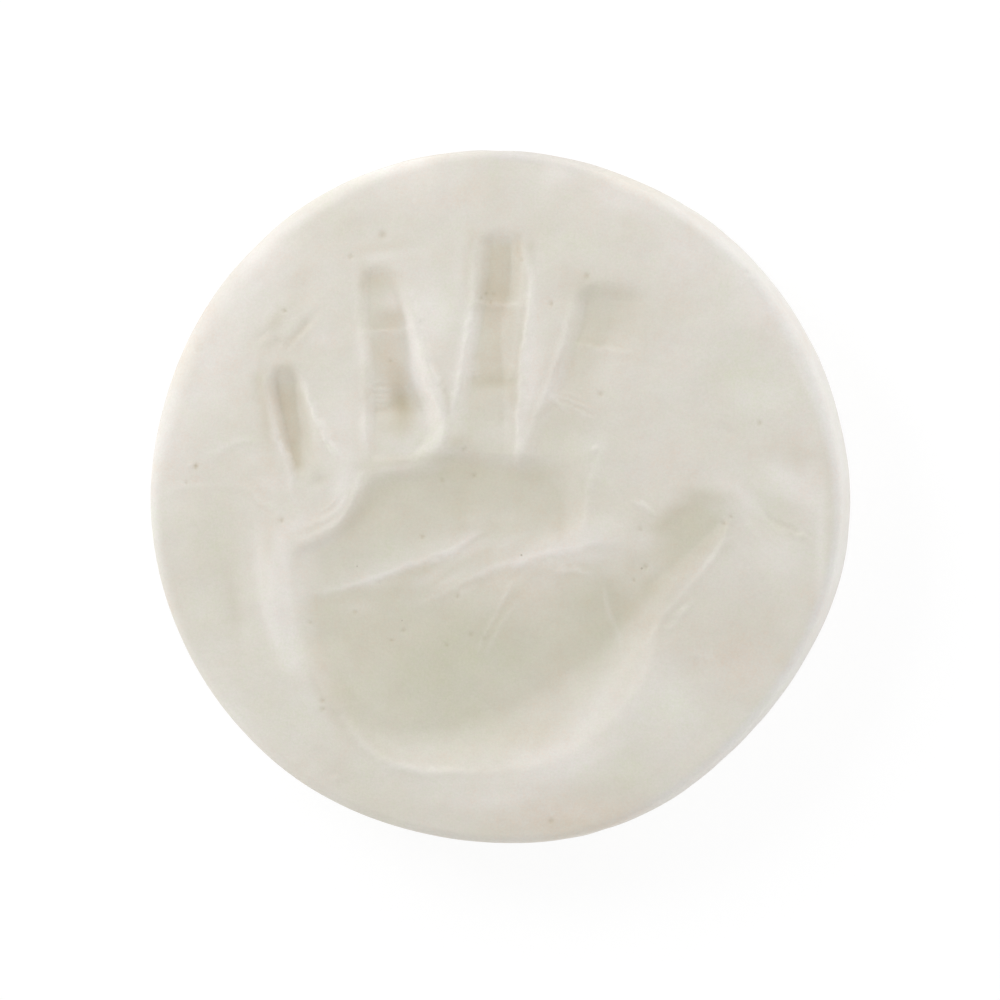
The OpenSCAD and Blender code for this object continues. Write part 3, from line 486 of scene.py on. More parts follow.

# Patches of paler clay and of painted highlight: rows of [x, y, half length, half width, turn, strength]
PALE_AND_HIGHLIGHT_SHARES = (
    (0.430, 0.680, 0.080, 0.060, -40, 0.7),
    (0.560, 0.560, 0.070, 0.040, -60, 0.8),
    (-0.390, 0.600, 0.160, 0.050, 55, 0.9),
    (-0.360, 0.655, 0.060, 0.020, 50, 1.0),
    (0.310, 0.770, 0.060, 0.018, -25, 0.5),
    (0.095, 0.150, 0.045, 0.010, 30, 0.3),
    (-0.330, 0.580, 0.030, 0.016, 45, 1.0),
    (-0.370, 0.655, 0.034, 0.012, 52, 1.0),
    (-0.530, 0.330, 0.100, 0.040, 75, 0.7),
    (-0.430, 0.470, 0.050, 0.040, 60, 0.3),
    (-0.400, -0.180, 0.100, 0.030, -55, 0.7),
    (-0.045, 0.560, 0.070, 0.035, 95, 1.0),
    (0.140, 0.480, 0.100, 0.018, 84, 0.9),
    (0.180, 0.450, 0.040, 0.014, 70, 0.6),
    (0.590, 0.130, 0.045, 0.035, 0, 0.8),
    (0.610, 0.270, 0.050, 0.025, -40, 0.8),
    (0.550, 0.420, 0.060, 0.035, 0, 0.8),
    (0.020, 0.500, 0.080, 0.014, 80, 1.0),
    (0.400, -0.140, 0.070, 0.055, 90, 0.9),
    (0.040, -0.283, 0.080, 0.012, 2, 0.4),
    (0.080, -0.318, 0.120, 0.020, 3, 0.6),
    (0.240, -0.240, 0.070, 0.016, 25, 0.5),
    (-0.080, -0.262, 0.070, 0.008, -4, 0.3),
    (0.365, 0.110, 0.040, 0.024, 40, 0.4),
    (0.520, 0.640, 0.050, 0.020, -50, 0.7),
    (-0.110, 0.284, 0.060, 0.009, 4, 0.6),
    (-0.100, 0.335, 0.050, 0.016, 0, 0.4),
    (0.085, 0.352, 0.028, 0.022, 0, 0.4),
    (0.600, 0.530, 0.080, 0.030, -58, 0.5),
    (-0.300, 0.175, 0.040, 0.014, 40, 0.5),
    (0.275, -0.170, 0.120, 0.045, 47, 0.9),
    (0.160, -0.250, 0.080, 0.025, 15, 0.6),
    (-0.100, 0.800, 0.080, 0.030, 8, 0.6),
    (0.280, 0.780, 0.090, 0.035, -18, 0.7),
    (-0.210, 0.360, 0.070, 0.035, 80, 0.6),
    (-0.162, 0.360, 0.030, 0.014, 90, 0.5),
    (-0.338, 0.402, 0.018, 0.008, 98, 0.4),
    (-0.368, 0.470, 0.030, 0.010, 90, 0.5),
    (-0.308, 0.345, 0.016, 0.008, 98, 0.3),
    (0.060, -0.100, 0.060, 0.060, 0, 0.2),
    (-0.050, 0.438, 0.016, 0.012, 100, 0.6),
    (-0.095, 0.315, 0.050, 0.010, 8, 0.4),
    (-0.168, 0.520, 0.050, 0.010, 90, 0.5),
    (-0.110, 0.590, 0.020, 0.014, 90, 0.5),
    (0.130, 0.600, 0.024, 0.008, 85, 0.5),
    (-0.275, 0.190, 0.050, 0.010, 20, 0.4),
    (-0.120, 0.835, 0.100, 0.012, 15, 0.7),
    (-0.270, 0.745, 0.080, 0.012, 30, 0.6),
    (0.200, 0.812, 0.030, 0.014, 0, 0.5),
    (0.150, 0.020, 0.060, 0.050, 0, 0.18),
    (0.190, 0.825, 0.020, 0.020, 0, 0.5),
    (0.400, 0.480, 0.050, 0.060, 0, 0.2),
    (0.310, 0.460, 0.050, 0.040, 0, 0.2),
    (0.146, 0.430, 0.060, 0.010, 72, 0.4),
    (-0.020, 0.350, 0.022, 0.008, 80, 0.4),
    (-0.172, 0.505, 0.030, 0.014, 90, 0.6),
    (-0.205, 0.255, 0.050, 0.020, 75, 1.0),
    (-0.450, 0.415, 0.050, 0.040, 60, 0.3),
    (0.010, 0.640, 0.050, 0.016, 90, 0.5),
    (-0.288, 0.060, 0.024, 0.010, 90, 0.4),
    (0.020, 0.066, 0.030, 0.008, 34, 0.4),
    (-0.015, 0.315, 0.024, 0.006, 20, 0.4),
    (0.650, 0.270, 0.080, 0.020, 90, 0.6),
    (-0.275, 0.110, 0.060, 0.024, 95, 0.5),
    (-0.062, 0.505, 0.100, 0.015, 104, 1.15),
    (-0.050, 0.380, 0.030, 0.018, 80, 0.8),
    (0.030, 0.140, 0.050, 0.014, 25, 0.6),
    (0.160, 0.108, 0.110, 0.014, 16, 0.5),
    (0.535, 0.234, 0.060, 0.014, -40, 0.8),
    (0.578, 0.255, 0.065, 0.010, -26, 0.35),
    (0.180, 0.405, 0.040, 0.014, 60, 0.5),
    (0.255, 0.330, 0.030, 0.016, 0, 0.4),
    (-0.012, 0.562, 0.026, 0.026, 0, 0.5),
    (0.600, 0.270, 0.050, 0.016, -35, 0.4),
    (-0.340, 0.256, 0.028, 0.014, 0, 0.5),
    (-0.237, 0.520, 0.030, 0.016, 0, 0.5),
    (-0.130, 0.671, 0.050, 0.008, 6, 0.5),
    (0.168, 0.800, 0.020, 0.050, -10, 0.5),
    (0.052, 0.815, 0.030, 0.030, 0, 0.4),
    (0.330, 0.775, 0.050, 0.014, -25, 0.6),
    (0.470, 0.560, 0.050, 0.030, 0, 0.3),
    (-0.085, 0.830, 0.060, 0.020, 8, 0.8),
    (0.640, 0.460, 0.100, 0.010, -66, 1.1),
    (0.600, 0.560, 0.060, 0.010, -58, 0.6),
    (0.670, 0.150, 0.110, 0.010, 90, 0.8),
    (-0.072, 0.455, 0.030, 0.012, 104, 1.0),
    (-0.280, -0.090, 0.050, 0.014, 105, 0.4),
    (0.350, 0.160, 0.040, 0.024, 40, 0.5),
    (0.430, 0.220, 0.030, 0.014, 20, 0.3),
    (-0.085, 0.102, 0.085, 0.008, 16, 0.25),
    (-0.040, 0.090, 0.036, 0.012, 30, 0.45),
    (-0.135, 0.074, 0.060, 0.012, 10, 0.25),
    (-0.180, 0.030, 0.030, 0.014, 0, 0.3),
    (0.120, 0.070, 0.140, 0.035, 12, 0.35),
    (-0.012, 0.082, 0.036, 0.008, 32, 0.4),
    (0.245, 0.128, 0.040, 0.012, 10, 0.4),
    (0.095, 0.195, 0.030, 0.024, 0, 0.3),
    (0.180, -0.120, 0.080, 0.050, 40, 0.35),
    (-0.240, -0.080, 0.060, 0.020, 110, 0.3),
)

# Patches of other tint: rows of [x, y, half length, half width, turn, tint], pink above 0, green below
TINT_SHARES = (
    (0.070, 0.820, 0.020, 0.060, 0, -0.8),
    (0.160, 0.755, 0.020, 0.050, 10, -0.7),
    (0.240, 0.690, 0.045, 0.018, -15, -0.8),
    (0.555, 0.435, 0.065, 0.080, 10, -1.2),
    (0.580, 0.240, 0.040, 0.090, 0, -0.8),
    (0.395, -0.150, 0.055, 0.060, 0, -1.2),
    (0.330, -0.250, 0.040, 0.040, 0, -0.7),
    (-0.360, -0.150, 0.070, 0.090, 30, -0.6),
    (-0.060, -0.090, 0.200, 0.100, 0, -0.75),
    (-0.010, 0.560, 0.040, 0.090, 8, -1.0),
    (-0.210, 0.610, 0.028, 0.060, 0, -0.6),
    (-0.430, 0.110, 0.050, 0.090, 10, -0.5),
    (0.300, 0.500, 0.050, 0.120, -10, 0.8),
    (0.530, -0.070, 0.060, 0.045, 0, 1.2),
    (0.240, -0.345, 0.110, 0.030, 8, 1.1),
    (-0.020, 0.765, 0.090, 0.020, 8, 0.6),
    (-0.480, 0.530, 0.050, 0.090, -30, 0.5),
    (0.080, 0.120, 0.180, 0.080, 5, 0.7),
    (-0.312, 0.385, 0.080, 0.020, 99, 1.5),
    (-0.115, 0.500, 0.110, 0.026, 96, 1.4),
    (0.078, 0.590, 0.120, 0.026, 90, 1.5),
    (0.420, 0.090, 0.120, 0.016, 47, 0.8),
    (0.170, -0.120, 0.200, 0.016, 28, 0.3),
    (-0.130, 0.130, 0.080, 0.030, 15, -0.6),
    (0.120, 0.650, 0.050, 0.010, 92, 0.6),
    (-0.250, -0.060, 0.100, 0.014, 100, 0.8),
)

# Thin lines drawn through points: (height as a share of the skin lines' height, half width, points)
LINE_SHARES = (
    (0.6, 0.004, [(0.111, 0.090), (0.098, 0.063), (0.084, 0.037), (0.061, -0.008), (0.034, -0.058)]),
    (0.5, 0.004, [(0.115, 0.048), (0.084, -0.001), (0.054, -0.058)]),
    (1.0, 0.005, [(0.183, 0.099), (0.205, 0.103), (0.229, 0.101), (0.255, 0.098)]),
    (0.55, 0.004, [(-0.275, 0.053), (-0.216, 0.064), (-0.154, 0.082), (-0.123, 0.095), (-0.077, 0.113),
                  (-0.038, 0.127), (0.0, 0.141), (0.023, 0.153), (0.046, 0.173)]),
    (0.45, 0.004, [(-0.069, 0.037), (-0.031, 0.053), (0.0, 0.069), (0.030, 0.087), (0.076, 0.106),
                  (0.122, 0.119), (0.168, 0.133), (0.214, 0.144), (0.258, 0.155)]),
    (0.8, 0.004, [(-0.195, 0.235), (-0.215, 0.208), (-0.243, 0.188), (-0.280, 0.178)]),
    (0.6, 0.003, [(-0.205, 0.262), (-0.222, 0.226), (-0.250, 0.204)]),
    (0.7, 0.003, [(-0.152, 0.437), (-0.138, 0.441), (-0.120, 0.444)]),
    (0.9, 0.004, [(-0.152, 0.427), (-0.135, 0.428), (-0.116, 0.433)]),
    (0.9, 0.004, [(-0.152, 0.417), (-0.135, 0.417), (-0.116, 0.421)]),
    (0.9, 0.004, [(-0.152, 0.407), (-0.135, 0.407), (-0.117, 0.411)]),
    (0.7, 0.003, [(-0.150, 0.398), (-0.137, 0.396), (-0.122, 0.399)]),
    (0.6, 0.003, [(-0.100, 0.442), (-0.090, 0.434), (-0.082, 0.422)]),
    (1.2, 0.004, [(-0.056, 0.452), (-0.048, 0.434), (-0.036, 0.418), (-0.028, 0.400), (-0.022, 0.378)]),
    (-1.2, 0.004, [(-0.050, 0.452), (-0.042, 0.436), (-0.030, 0.422)]),
    (0.8, 0.004, [(0.020, 0.475), (0.035, 0.477), (0.048, 0.478)]),
    (0.9, 0.004, [(0.020, 0.465), (0.035, 0.467), (0.048, 0.469)]),
    (0.9, 0.004, [(0.020, 0.456), (0.036, 0.456), (0.049, 0.458)]),
    (0.9, 0.004, [(0.098, 0.449), (0.107, 0.452), (0.118, 0.453)]),
    (0.9, 0.004, [(0.098, 0.458), (0.107, 0.461), (0.118, 0.463)]),
    (0.7, 0.004, [(0.100, 0.467), (0.108, 0.470), (0.119, 0.472)]),
    (1.0, 0.004, [(0.171, 0.423), (0.182, 0.414), (0.195, 0.403), (0.218, 0.381)]),
    (1.0, 0.004, [(0.183, 0.420), (0.205, 0.413), (0.227, 0.406), (0.259, 0.391)]),
    (0.9, 0.004, [(0.183, 0.413), (0.205, 0.402), (0.227, 0.390), (0.259, 0.375)]),
    (0.7, 0.004, [(0.195, 0.425), (0.220, 0.420), (0.245, 0.412)]),
    (0.6, 0.004, [(0.275, 0.080), (0.280, 0.040), (0.300, -0.010), (0.310, -0.040)]),
    (0.9, 0.004, [(0.444, 0.055), (0.428, 0.034), (0.409, 0.011), (0.384, -0.002)]),
    (0.7, 0.004, [(0.428, 0.036), (0.415, 0.026), (0.400, 0.024)]),
    (-0.7, 0.006, [(-0.310, 0.500), (-0.298, 0.520), (-0.278, 0.538), (-0.255, 0.553)]),
    (0.4, 0.006, [(-0.304, 0.494), (-0.292, 0.512), (-0.272, 0.530), (-0.250, 0.545)]),
    (-1.1, 0.004, [(0.560, 0.223), (0.585, 0.195), (0.623, 0.179), (0.660, 0.167)]),
    (0.25, 0.006, [(0.556, 0.214), (0.582, 0.186), (0.620, 0.171), (0.655, 0.160)]),
    (-1.0, 0.003, [(-0.477, 0.527), (-0.473, 0.508), (-0.467, 0.494)]),
    (-1.0, 0.003, [(-0.482, 0.512), (-0.478, 0.500), (-0.470, 0.488)]),
    (1.0, 0.004, [(-0.500, 0.282), (-0.488, 0.288), (-0.478, 0.290)]),
    (0.7, 0.003, [(0.440, -0.035), (0.452, -0.056), (0.462, -0.080)]),
    (0.7, 0.003, [(0.456, -0.030), (0.466, -0.052), (0.474, -0.076)]),
    (0.7, 0.003, [(0.470, -0.036), (0.478, -0.060), (0.484, -0.082)]),
    (0.6, 0.004, [(0.440, -0.048), (0.462, -0.052), (0.482, -0.060)]),
)
# Steps of a lip or a line between two of its points, and how many widths away it has faded out
LINE_STEPS = 6
LINE_REACH = 3.0

# Small holes left by grains and bubbles: rows of [x, y, radius], with the radius as a share
PIT_SHARES = (
    (-0.023, 0.263, 0.004), (0.036, 0.273, 0.004), (0.020, 0.321, 0.003), (-0.187, 0.020, 0.004),
    (-0.096, -0.012, 0.004), (0.029, -0.018, 0.004), (0.054, -0.025, 0.003), (-0.017, -0.038, 0.003),
    (-0.118, -0.031, 0.003), (0.004, 0.052, 0.004), (-0.060, 0.160, 0.004), (-0.244, -0.142, 0.004),
    (-0.244, -0.157, 0.004), (-0.320, 0.188, 0.004), (-0.270, 0.000, 0.003), (0.342, 0.179, 0.003),
    (0.352, 0.110, 0.005), (0.330, 0.086, 0.003), (0.494, 0.191, 0.004), (0.508, 0.203, 0.003),
    (0.535, 0.640, 0.005), (0.550, 0.625, 0.005), (-0.481, 0.287, 0.004), (-0.499, 0.257, 0.003),
    (-0.130, 0.710, 0.007), (-0.190, 0.670, 0.004), (0.180, -0.355, 0.005), (-0.117, 0.480, 0.003),
    (0.125, 0.665, 0.003), (0.050, 0.595, 0.003), (0.073, 0.602, 0.003), (0.068, 0.588, 0.003),
    (0.058, 0.603, 0.003), (0.245, 0.635, 0.005), (0.270, 0.422, 0.005), (0.180, 0.585, 0.004),
    (-0.313, 0.572, 0.003), (0.559, 0.371, 0.004),
)

# Lumps of clay worked by hand, and the shake that keeps lips and lines from being too even: rows of
# (cell of the lattice, size, seed), with a lump's size as a share of the lumps' height
LUMP_SHARES = ((0.11, 1.0, 3), (0.047, 0.55, 4), (0.017, 0.18, 7))
SHAKE_SHARES = ((0.014, 0.0030, 5), (0.006, 0.0016, 6))
SIDE_LUMP_SHARES = ((0.05, 1.0, 9),)
# Cells along each side of a lattice, after which it repeats
LATTICE = 128

# Share of the prints' painted shade that a steep wall loses, and of paleness with painted highlight that it
# gains
WALL_SHADE_SHARE = 0.35
WALL_HIGHLIGHT_SHARE = 0.25
# How far a ridge is paler, with painted highlight, than a lip as high, how much darker a pit is made,
# and how far a crest is tinted green
RIDGE_HIGHLIGHT_SHARE = 1.2
PIT_DARKEN_SHARE = 0.35
CREST_GREEN_SHARE = 0.6

# Values that the mesh carries for its material: the prints' painted shade, paleness with painted
# highlight, stains with painted shade, tint, and the edge's painted highlight above 0 and painted shade
# below 0, which comes in over a share of the face's rounding
MASKS = ("print_shade", "pale_and_highlight", "stain_and_shade", "tint", "rim")
RIM_FADE_SHARE = 1 / 3

# How far the face's rounding drops, as a share of its width
ROUND_DROP_SHARE = 0.8
# Points that each ring of the face has more than the last, and the rings of the mesh on the face's
# rounding, the side, the back's edge and the flat back
RING_POINTS = 6
ROUND_STEPS = 10
SIDE_STEPS = 10
BACK_STEPS = 5
BACK_RINGS = 3

# Noises of the clay, from the broadest to the finest: (turns per metre, detail, roughness)
BROAD_NOISE = (75.0, 8.0, 0.7)
SMUDGE_NOISE = (150.0, 7.0, 0.66)
YELLOW_NOISE = (260.0, 7.0, 0.72)
COARSE_NOISE = (520.0, 3.0, 0.5)
SMALL_NOISE = (700.0, 5.0, 0.75)
FINE_NOISE = (2600.0, 4.0, 0.65)
FINEST_NOISE = (3000.0, 3.0, 0.6)
# How each noise or mask is spread out: (from, to, what the first becomes, what the second becomes)
BROAD_BAND = (0.35, 0.65, -1.0, 1.0)
SMUDGE_BAND = (0.4, 0.68, 0.0, 0.9)
YELLOW_BAND = (0.36, 0.64, 0.0, 1.0)
SMALL_BAND = (0.3, 0.7, -1.0, 1.0)
FINE_BAND = (0.35, 0.65, 0.0, 1.0)
FINEST_BAND = (0.3, 0.7, -1.4, 1.4)
PINK_BAND = (0.0, 2.0, 0.0, 1.0)
GREEN_BAND = (0.0, -2.0, 0.0, 1.0)
# What the clay's colour is multiplied by, where each tint is strongest
PINK_TINT = (1.02, 0.955, 0.925)
GREEN_TINT = (0.945, 0.985, 0.905)
SMUDGE_TINT = (0.955, 0.95, 0.93)
YELLOW_TINT = (1.003, 1.0, 0.972)
FINE_TINT = (0.955, 0.95, 0.945)
# How strongly the broad, the small and the finest noise tint the clay pink and green
MOTTLE = 0.7
# Specks: places per metre that could hold one, how much the prints' painted shade mask adds to their
# chance, the radius that the chance gives them as a share of a place, and how their edge fades
SPECK_SCALE = 420.0
SPECK_SHADE_SHARE = 0.10
SPECK_SIZE_BAND = (0.93, 1.1, 0.02, 0.11)
SPECK_EDGE_BAND = (0.0, 0.04, 0.0, 0.6)
# How much the coarse grain counts in the height beside the fine one
COARSE_HEIGHT = 2.0

# The floor: the light that it throws back, how bright it is by itself and how much of that shows
FLOOR_WHITE = 0.9
FLOOR_GLOW = 1.06
FLOOR_GLOW_SHARE = 0.8
# The lamps: length of their side, distance, and angles round the disc and above the floor in degrees
LAMP_SIZE = 0.25
LAMP_DISTANCE = 0.5
KEY_ANGLES = (142.0, 35.0)
FILL_ANGLES = (38.0, 14.0)
# The camera: width of its sensor in millimetres, the nearest and the farthest that it sees, and how
# far above the floor, to the right and down the picture's middle lies from the frame's origin
SENSOR_WIDTH = 36.0
CAMERA_CLIP = (0.01, 20.0)
AIM_HEIGHT = 7 * MM
AIM_RIGHT = 0.34 * MM
AIM_DOWN = 0.42 * MM


class DiscSizes(PropertyGroup):
    diameter: FloatProperty(
        name="Diameter", description="Diameter of the disc", default=DISC_D, min=0.05, max=0.3,
        unit="LENGTH")
    thickness: FloatProperty(
        name="Thickness", description="From the back to the level of the face", default=14 * MM,
        min=0.005, max=0.05, unit="LENGTH")
    wander: FloatProperty(
        name="Edge wander", description="How far the hand-made edge wanders out and in",
        default=0.4 * MM, min=0.0, max=0.002, unit="LENGTH")
    soft_round: FloatProperty(
        name="Soft rounding", description="Rounding of the face's edge where it is softest",
        default=4.4 * MM, min=0.001, max=0.01, unit="LENGTH")
    crisp_round: FloatProperty(
        name="Crisp rounding", description="Rounding of the face's edge where it is crispest",
        default=1.4 * MM, min=0.0005, max=0.005, unit="LENGTH")
    back_round: FloatProperty(
        name="Back rounding", description="Rounding of the back's edge", default=1.2 * MM,
        min=0.0003, max=0.004, unit="LENGTH")
    side_swell: FloatProperty(
        name="Side swell", description="How far the side swells out between its edges",
        default=0.5 * MM, min=0.0, max=0.002, unit="LENGTH")
    face_wave: FloatProperty(
        name="Face wave", description="Height of the slow waves in the face", default=0.25 * MM,
        min=0.0, max=0.001, unit="LENGTH")
    face_rings: IntProperty(
        name="Face rings", description="Rings of the mesh from the middle to the rounding",
        default=156, min=20, max=156)


class PrintSizes(PropertyGroup):
    hand_length: FloatProperty(
        name="Hand length", description="From the heel to the tip of the middle finger",
        default=86 * MM, min=0.05, max=0.2, unit="LENGTH")
    hand_x: FloatProperty(
        name="Hand to the right", description="From the disc's middle to the palm's", default=-5.6 * MM,
        min=-0.1, max=0.1, unit="LENGTH")
    hand_y: FloatProperty(
        name="Hand upwards", description="From the disc's middle to the palm's", default=-19.9 * MM,
        min=-0.1, max=0.1, unit="LENGTH")
    palm: FloatProperty(
        name="Palm depth", description="Depth of the palm's print", default=2.4 * MM, min=0.0, max=0.01,
        unit="LENGTH")
    thumb: FloatProperty(
        name="Thumb depth", description="Depth of the thumb's print", default=1.2 * MM, min=0.0,
        max=0.01, unit="LENGTH")
    index: FloatProperty(
        name="Index depth", description="Depth of the index finger's print", default=1.0 * MM, min=0.0,
        max=0.01, unit="LENGTH")
    middle: FloatProperty(
        name="Middle depth", description="Depth of the middle finger's print", default=1.2 * MM,
        min=0.0, max=0.01, unit="LENGTH")
    ring: FloatProperty(
        name="Ring depth", description="Depth of the ring finger's print", default=1.35 * MM, min=0.0,
        max=0.01, unit="LENGTH")
    little: FloatProperty(
        name="Little depth", description="Depth of the little finger's print", default=1.5 * MM,
        min=0.0, max=0.01, unit="LENGTH")
    lip: FloatProperty(
        name="Lip height", description="Height of the clay pushed up beside the prints",
        default=0.3 * MM, min=0.0, max=0.002, unit="LENGTH")
    ridge: FloatProperty(
        name="Ridge height", description="Height of the ridges beside the palm and under its creases",
        default=0.5 * MM, min=0.0, max=0.002, unit="LENGTH")
    dent: FloatProperty(
        name="Dent height", description="Size of the smaller dents and swellings", default=0.5 * MM,
        min=0.0, max=0.002, unit="LENGTH")
    skin_line: FloatProperty(
        name="Skin line height", description="Height of the finest lines of the skin",
        default=0.12 * MM, min=0.0, max=0.001, unit="LENGTH")
    pit: FloatProperty(
        name="Pit depth", description="Depth of the smallest holes", default=0.15 * MM, min=0.0,
        max=0.001, unit="LENGTH")
    melt: FloatProperty(
        name="Melt", description="How softly one print runs into the next", default=0.3 * MM,
        min=0.00001, max=0.002, unit="LENGTH")
    lump: FloatProperty(
        name="Lumps", description="Height of the small lumps that fingers leave in clay",
        default=0.12 * MM, min=0.0, max=0.001, unit="LENGTH")


class ClayLooks(PropertyGroup):
    face: FloatVectorProperty(
        name="Face", description="Colour of the dry face", default=(0.742, 0.711, 0.653),
        subtype="COLOR", min=0.0, max=1.0)
    # Painted shade: the darker, yellower colour of the prints' hollows
    hollow_shade: FloatVectorProperty(
        name="Hollow", description="Colour where the hand pressed the clay", default=(0.62, 0.595, 0.49),
        subtype="COLOR", min=0.0, max=1.0)
    # Painted highlight: the paler colour of lips, ridges, walls and lit patches
    crest_highlight: FloatVectorProperty(
        name="Crest", description="Colour of lips and ridges", default=(0.815, 0.782, 0.746),
        subtype="COLOR", min=0.0, max=1.0)
    # Stains, together with painted shade under creases and lips
    stain_and_shade: FloatVectorProperty(
        name="Stain", description="Colour where skin left the clay darkest", default=(0.47, 0.41, 0.27),
        subtype="COLOR", min=0.0, max=1.0)
    speck: FloatVectorProperty(
        name="Speck", description="Colour of grains and of the dust in small holes",
        default=(0.36, 0.32, 0.24), subtype="COLOR", min=0.0, max=1.0)
    # Painted highlight on the edge where it faces the light
    rim: FloatVectorProperty(
        name="Rim", description="Colour of the edge where it dried palest", default=(0.785, 0.765, 0.745),
        subtype="COLOR", min=0.0, max=1.0)
    # Painted shade on the edge where it turns from the light
    rim_shade: FloatVectorProperty(
        name="Rim shade", description="Colour of the edge where it was handled most",
        default=(0.65, 0.62, 0.61), subtype="COLOR", min=0.0, max=1.0)
    roughness: FloatProperty(
        name="Roughness", description="Roughness of the dried clay", default=0.6, min=0.0, max=1.0)
    grain_height: FloatProperty(
        name="Grain height", description="Height of the clay's fine grain", default=0.03 * MM,
        min=0.0, max=0.001, unit="LENGTH")


class StageSizes(PropertyGroup):
    floor_size: FloatProperty(
        name="Floor size", description="Length of the floor's side", default=4.0, min=0.5, max=20.0,
        unit="LENGTH")
    camera_distance: FloatProperty(
        name="Camera distance", description="From the disc to the camera", default=0.7, min=0.2,
        max=5.0, unit="LENGTH")
    camera_tilt: FloatProperty(
        name="Camera tilt", description="Angle between the view and the face's normal",
        default=math.radians(10), subtype="ANGLE")
    camera_side: FloatProperty(
        name="Camera side", description="Direction to which the camera leans",
        default=math.radians(15), subtype="ANGLE")
    view_width: FloatProperty(
        name="View width", description="Width of the picture at the disc", default=157.7 * MM,
        min=0.05, max=1.0, unit="LENGTH")
    key_power: FloatProperty(
        name="Key power", description="Power of the large soft light at the upper left", default=0.9,
        min=0.0, max=100.0, unit="POWER")
    fill_power: FloatProperty(
        name="Fill power", description="Power of the low soft light at the right", default=0.45,
        min=0.0, max=100.0, unit="POWER")
    zenith: FloatProperty(
        name="Zenith", description="Strength of the light from straight above", default=0.27, min=0.0,
        max=5.0)
    horizon: FloatProperty(
        name="Horizon", description="Strength of the light from the white walls all around",
        default=1.68, min=0.0, max=5.0)


def smooth_step(share):
    """Rises from 0 to 1 over the share 0 to 1, level at both ends: 3 s squared less 2 s cubed."""
    held = np.clip(share, 0.0, 1.0)
    return held * held * (3.0 - 2.0 * held)


def read_rows(at, rows, column, reach):
    """A column of rows at given places: straight between rows, averaged over a reach to both sides."""
    keys, values = rows[:, 0], rows[:, column]
    steps = (-1.0, -0.5, 0.0, 0.5, 1.0)
    weights = (1.0, 2.0, 2.0, 2.0, 1.0)
    return sum(w * np.interp(at + s * reach, keys, values) for s, w in zip(steps, weights)) / sum(weights)


def wall_share(share, start, bend):
    """How far a wall has fallen, from 0 at its upper edge to 1 at its foot: fast at first, then slowly.

    The share s of the wall's width is rounded off near 0, to s squared over s plus the start, and
    scaled to a t that is 1 at the foot. The fall is 1 less (1 - t) to the power of the bend.
    """
    held = np.clip(share, 0.0, 1.0)
    t = held * held * (1.0 + start) / (held + start)
    return 1.0 - (1.0 - t) ** bend


def deeper(a, b, melt):
    """The larger of two depths, with a parabola between them where they differ by less than melt."""
    t = np.clip((a - b) / melt / 2.0 + 0.5, 0.0, 1.0)
    return b + (a - b) * t + melt * t * (1.0 - t)


def palm_depth(u, v, hand):
    """Depth of the palm's print, and how firmly the palm pressed there.

    The outline is a radius about the palm's middle, read at each point's angle. The floor's share
    goes from the one in the middle to the rows' own at the outline by a smooth step. The depth is
    the palm's times that share and the fall of the wall from the outline inwards, over its width
    there. How firmly it pressed is the square root of the floor's share, times the fall.
    """
    mid_x, mid_y = PALM_MID_SHARES
    x, y = PALM_SHARES[:, 0] - mid_x, PALM_SHARES[:, 1] - mid_y
    angle = np.degrees(np.arctan2(y, x)) % 360.0
    rows = np.column_stack([angle, np.hypot(x, y), PALM_SHARES[:, 2:]])
    rows = rows[np.argsort(angle)]
    # The last rows stand before the first and the first after the last, so that the average goes round
    before, after = rows[-3:].copy(), rows[:3].copy()
    before[:, 0] -= 360.0
    after[:, 0] += 360.0
    rows = np.vstack([before, rows, after])
    at = np.degrees(np.arctan2(v - mid_y, u - mid_x)) % 360.0
    out = np.hypot(u - mid_x, v - mid_y)
    edge, wall, deep, start = (read_rows(at, rows, column, PALM_EASE) for column in range(1, 5))
    near_edge = smooth_step(out / edge)
    floor = PALM_MID_DEPTH_SHARE * (1.0 - near_edge) + deep * near_edge
    fall = wall_share((edge - out) / wall, start, PALM_BEND)
    return hand.palm * floor * fall, np.sqrt(floor) * fall


def finger_depth(u, v, rows, place, depth):
    """Depth of one finger's print, and how firmly the finger pressed there.

    Points are turned into a place along the finger and one across it. The depth there is the
    finger's times the rows' share, its lean and its fall. The fall is that of the walls in from
    each edge and back from the tip, times a smooth step away from the palm. The edges close in
    half an ellipse at the tip. How firmly it pressed is the square root of the rows' share, times
    the fall.
    """
    x0, y0, turn, tip, tip_length, fade = place
    c, s = math.cos(math.radians(turn)), math.sin(math.radians(turn))
    along = (u - x0) * c + (v - y0) * s
    across = (u - x0) * s - (v - y0) * c
    left, right, deep, left_wall, right_wall, lean = (
        read_rows(along, rows, column, ROW_EASE_SHARE) for column in range(1, 7))
    in_tip = np.clip((along - tip + tip_length) / tip_length, 0.0, 1.0)
    middle = (left + right) / 2.0
    half = (right - left) / 2.0 * np.sqrt(1.0 - in_tip * in_tip)
    left_fall = wall_share((across - middle + half) / left_wall, FINGER_START_SHARE, FINGER_BEND)
    right_fall = wall_share((middle + half - across) / right_wall, FINGER_START_SHARE, FINGER_BEND)
    tip_fall = wall_share((tip - along) / tip_length, FINGER_START_SHARE, FINGER_BEND)
    ends = tip_fall * smooth_step((along - rows[0, 0]) / fade)
    leaning = 1.0 + lean * np.clip((across - middle) / ((right - left) / 2.0), -1.0, 1.0)
    fall = left_fall * right_fall * ends
    return depth * leaning * deep * fall, np.sqrt(np.maximum(deep, 0.0)) * fall


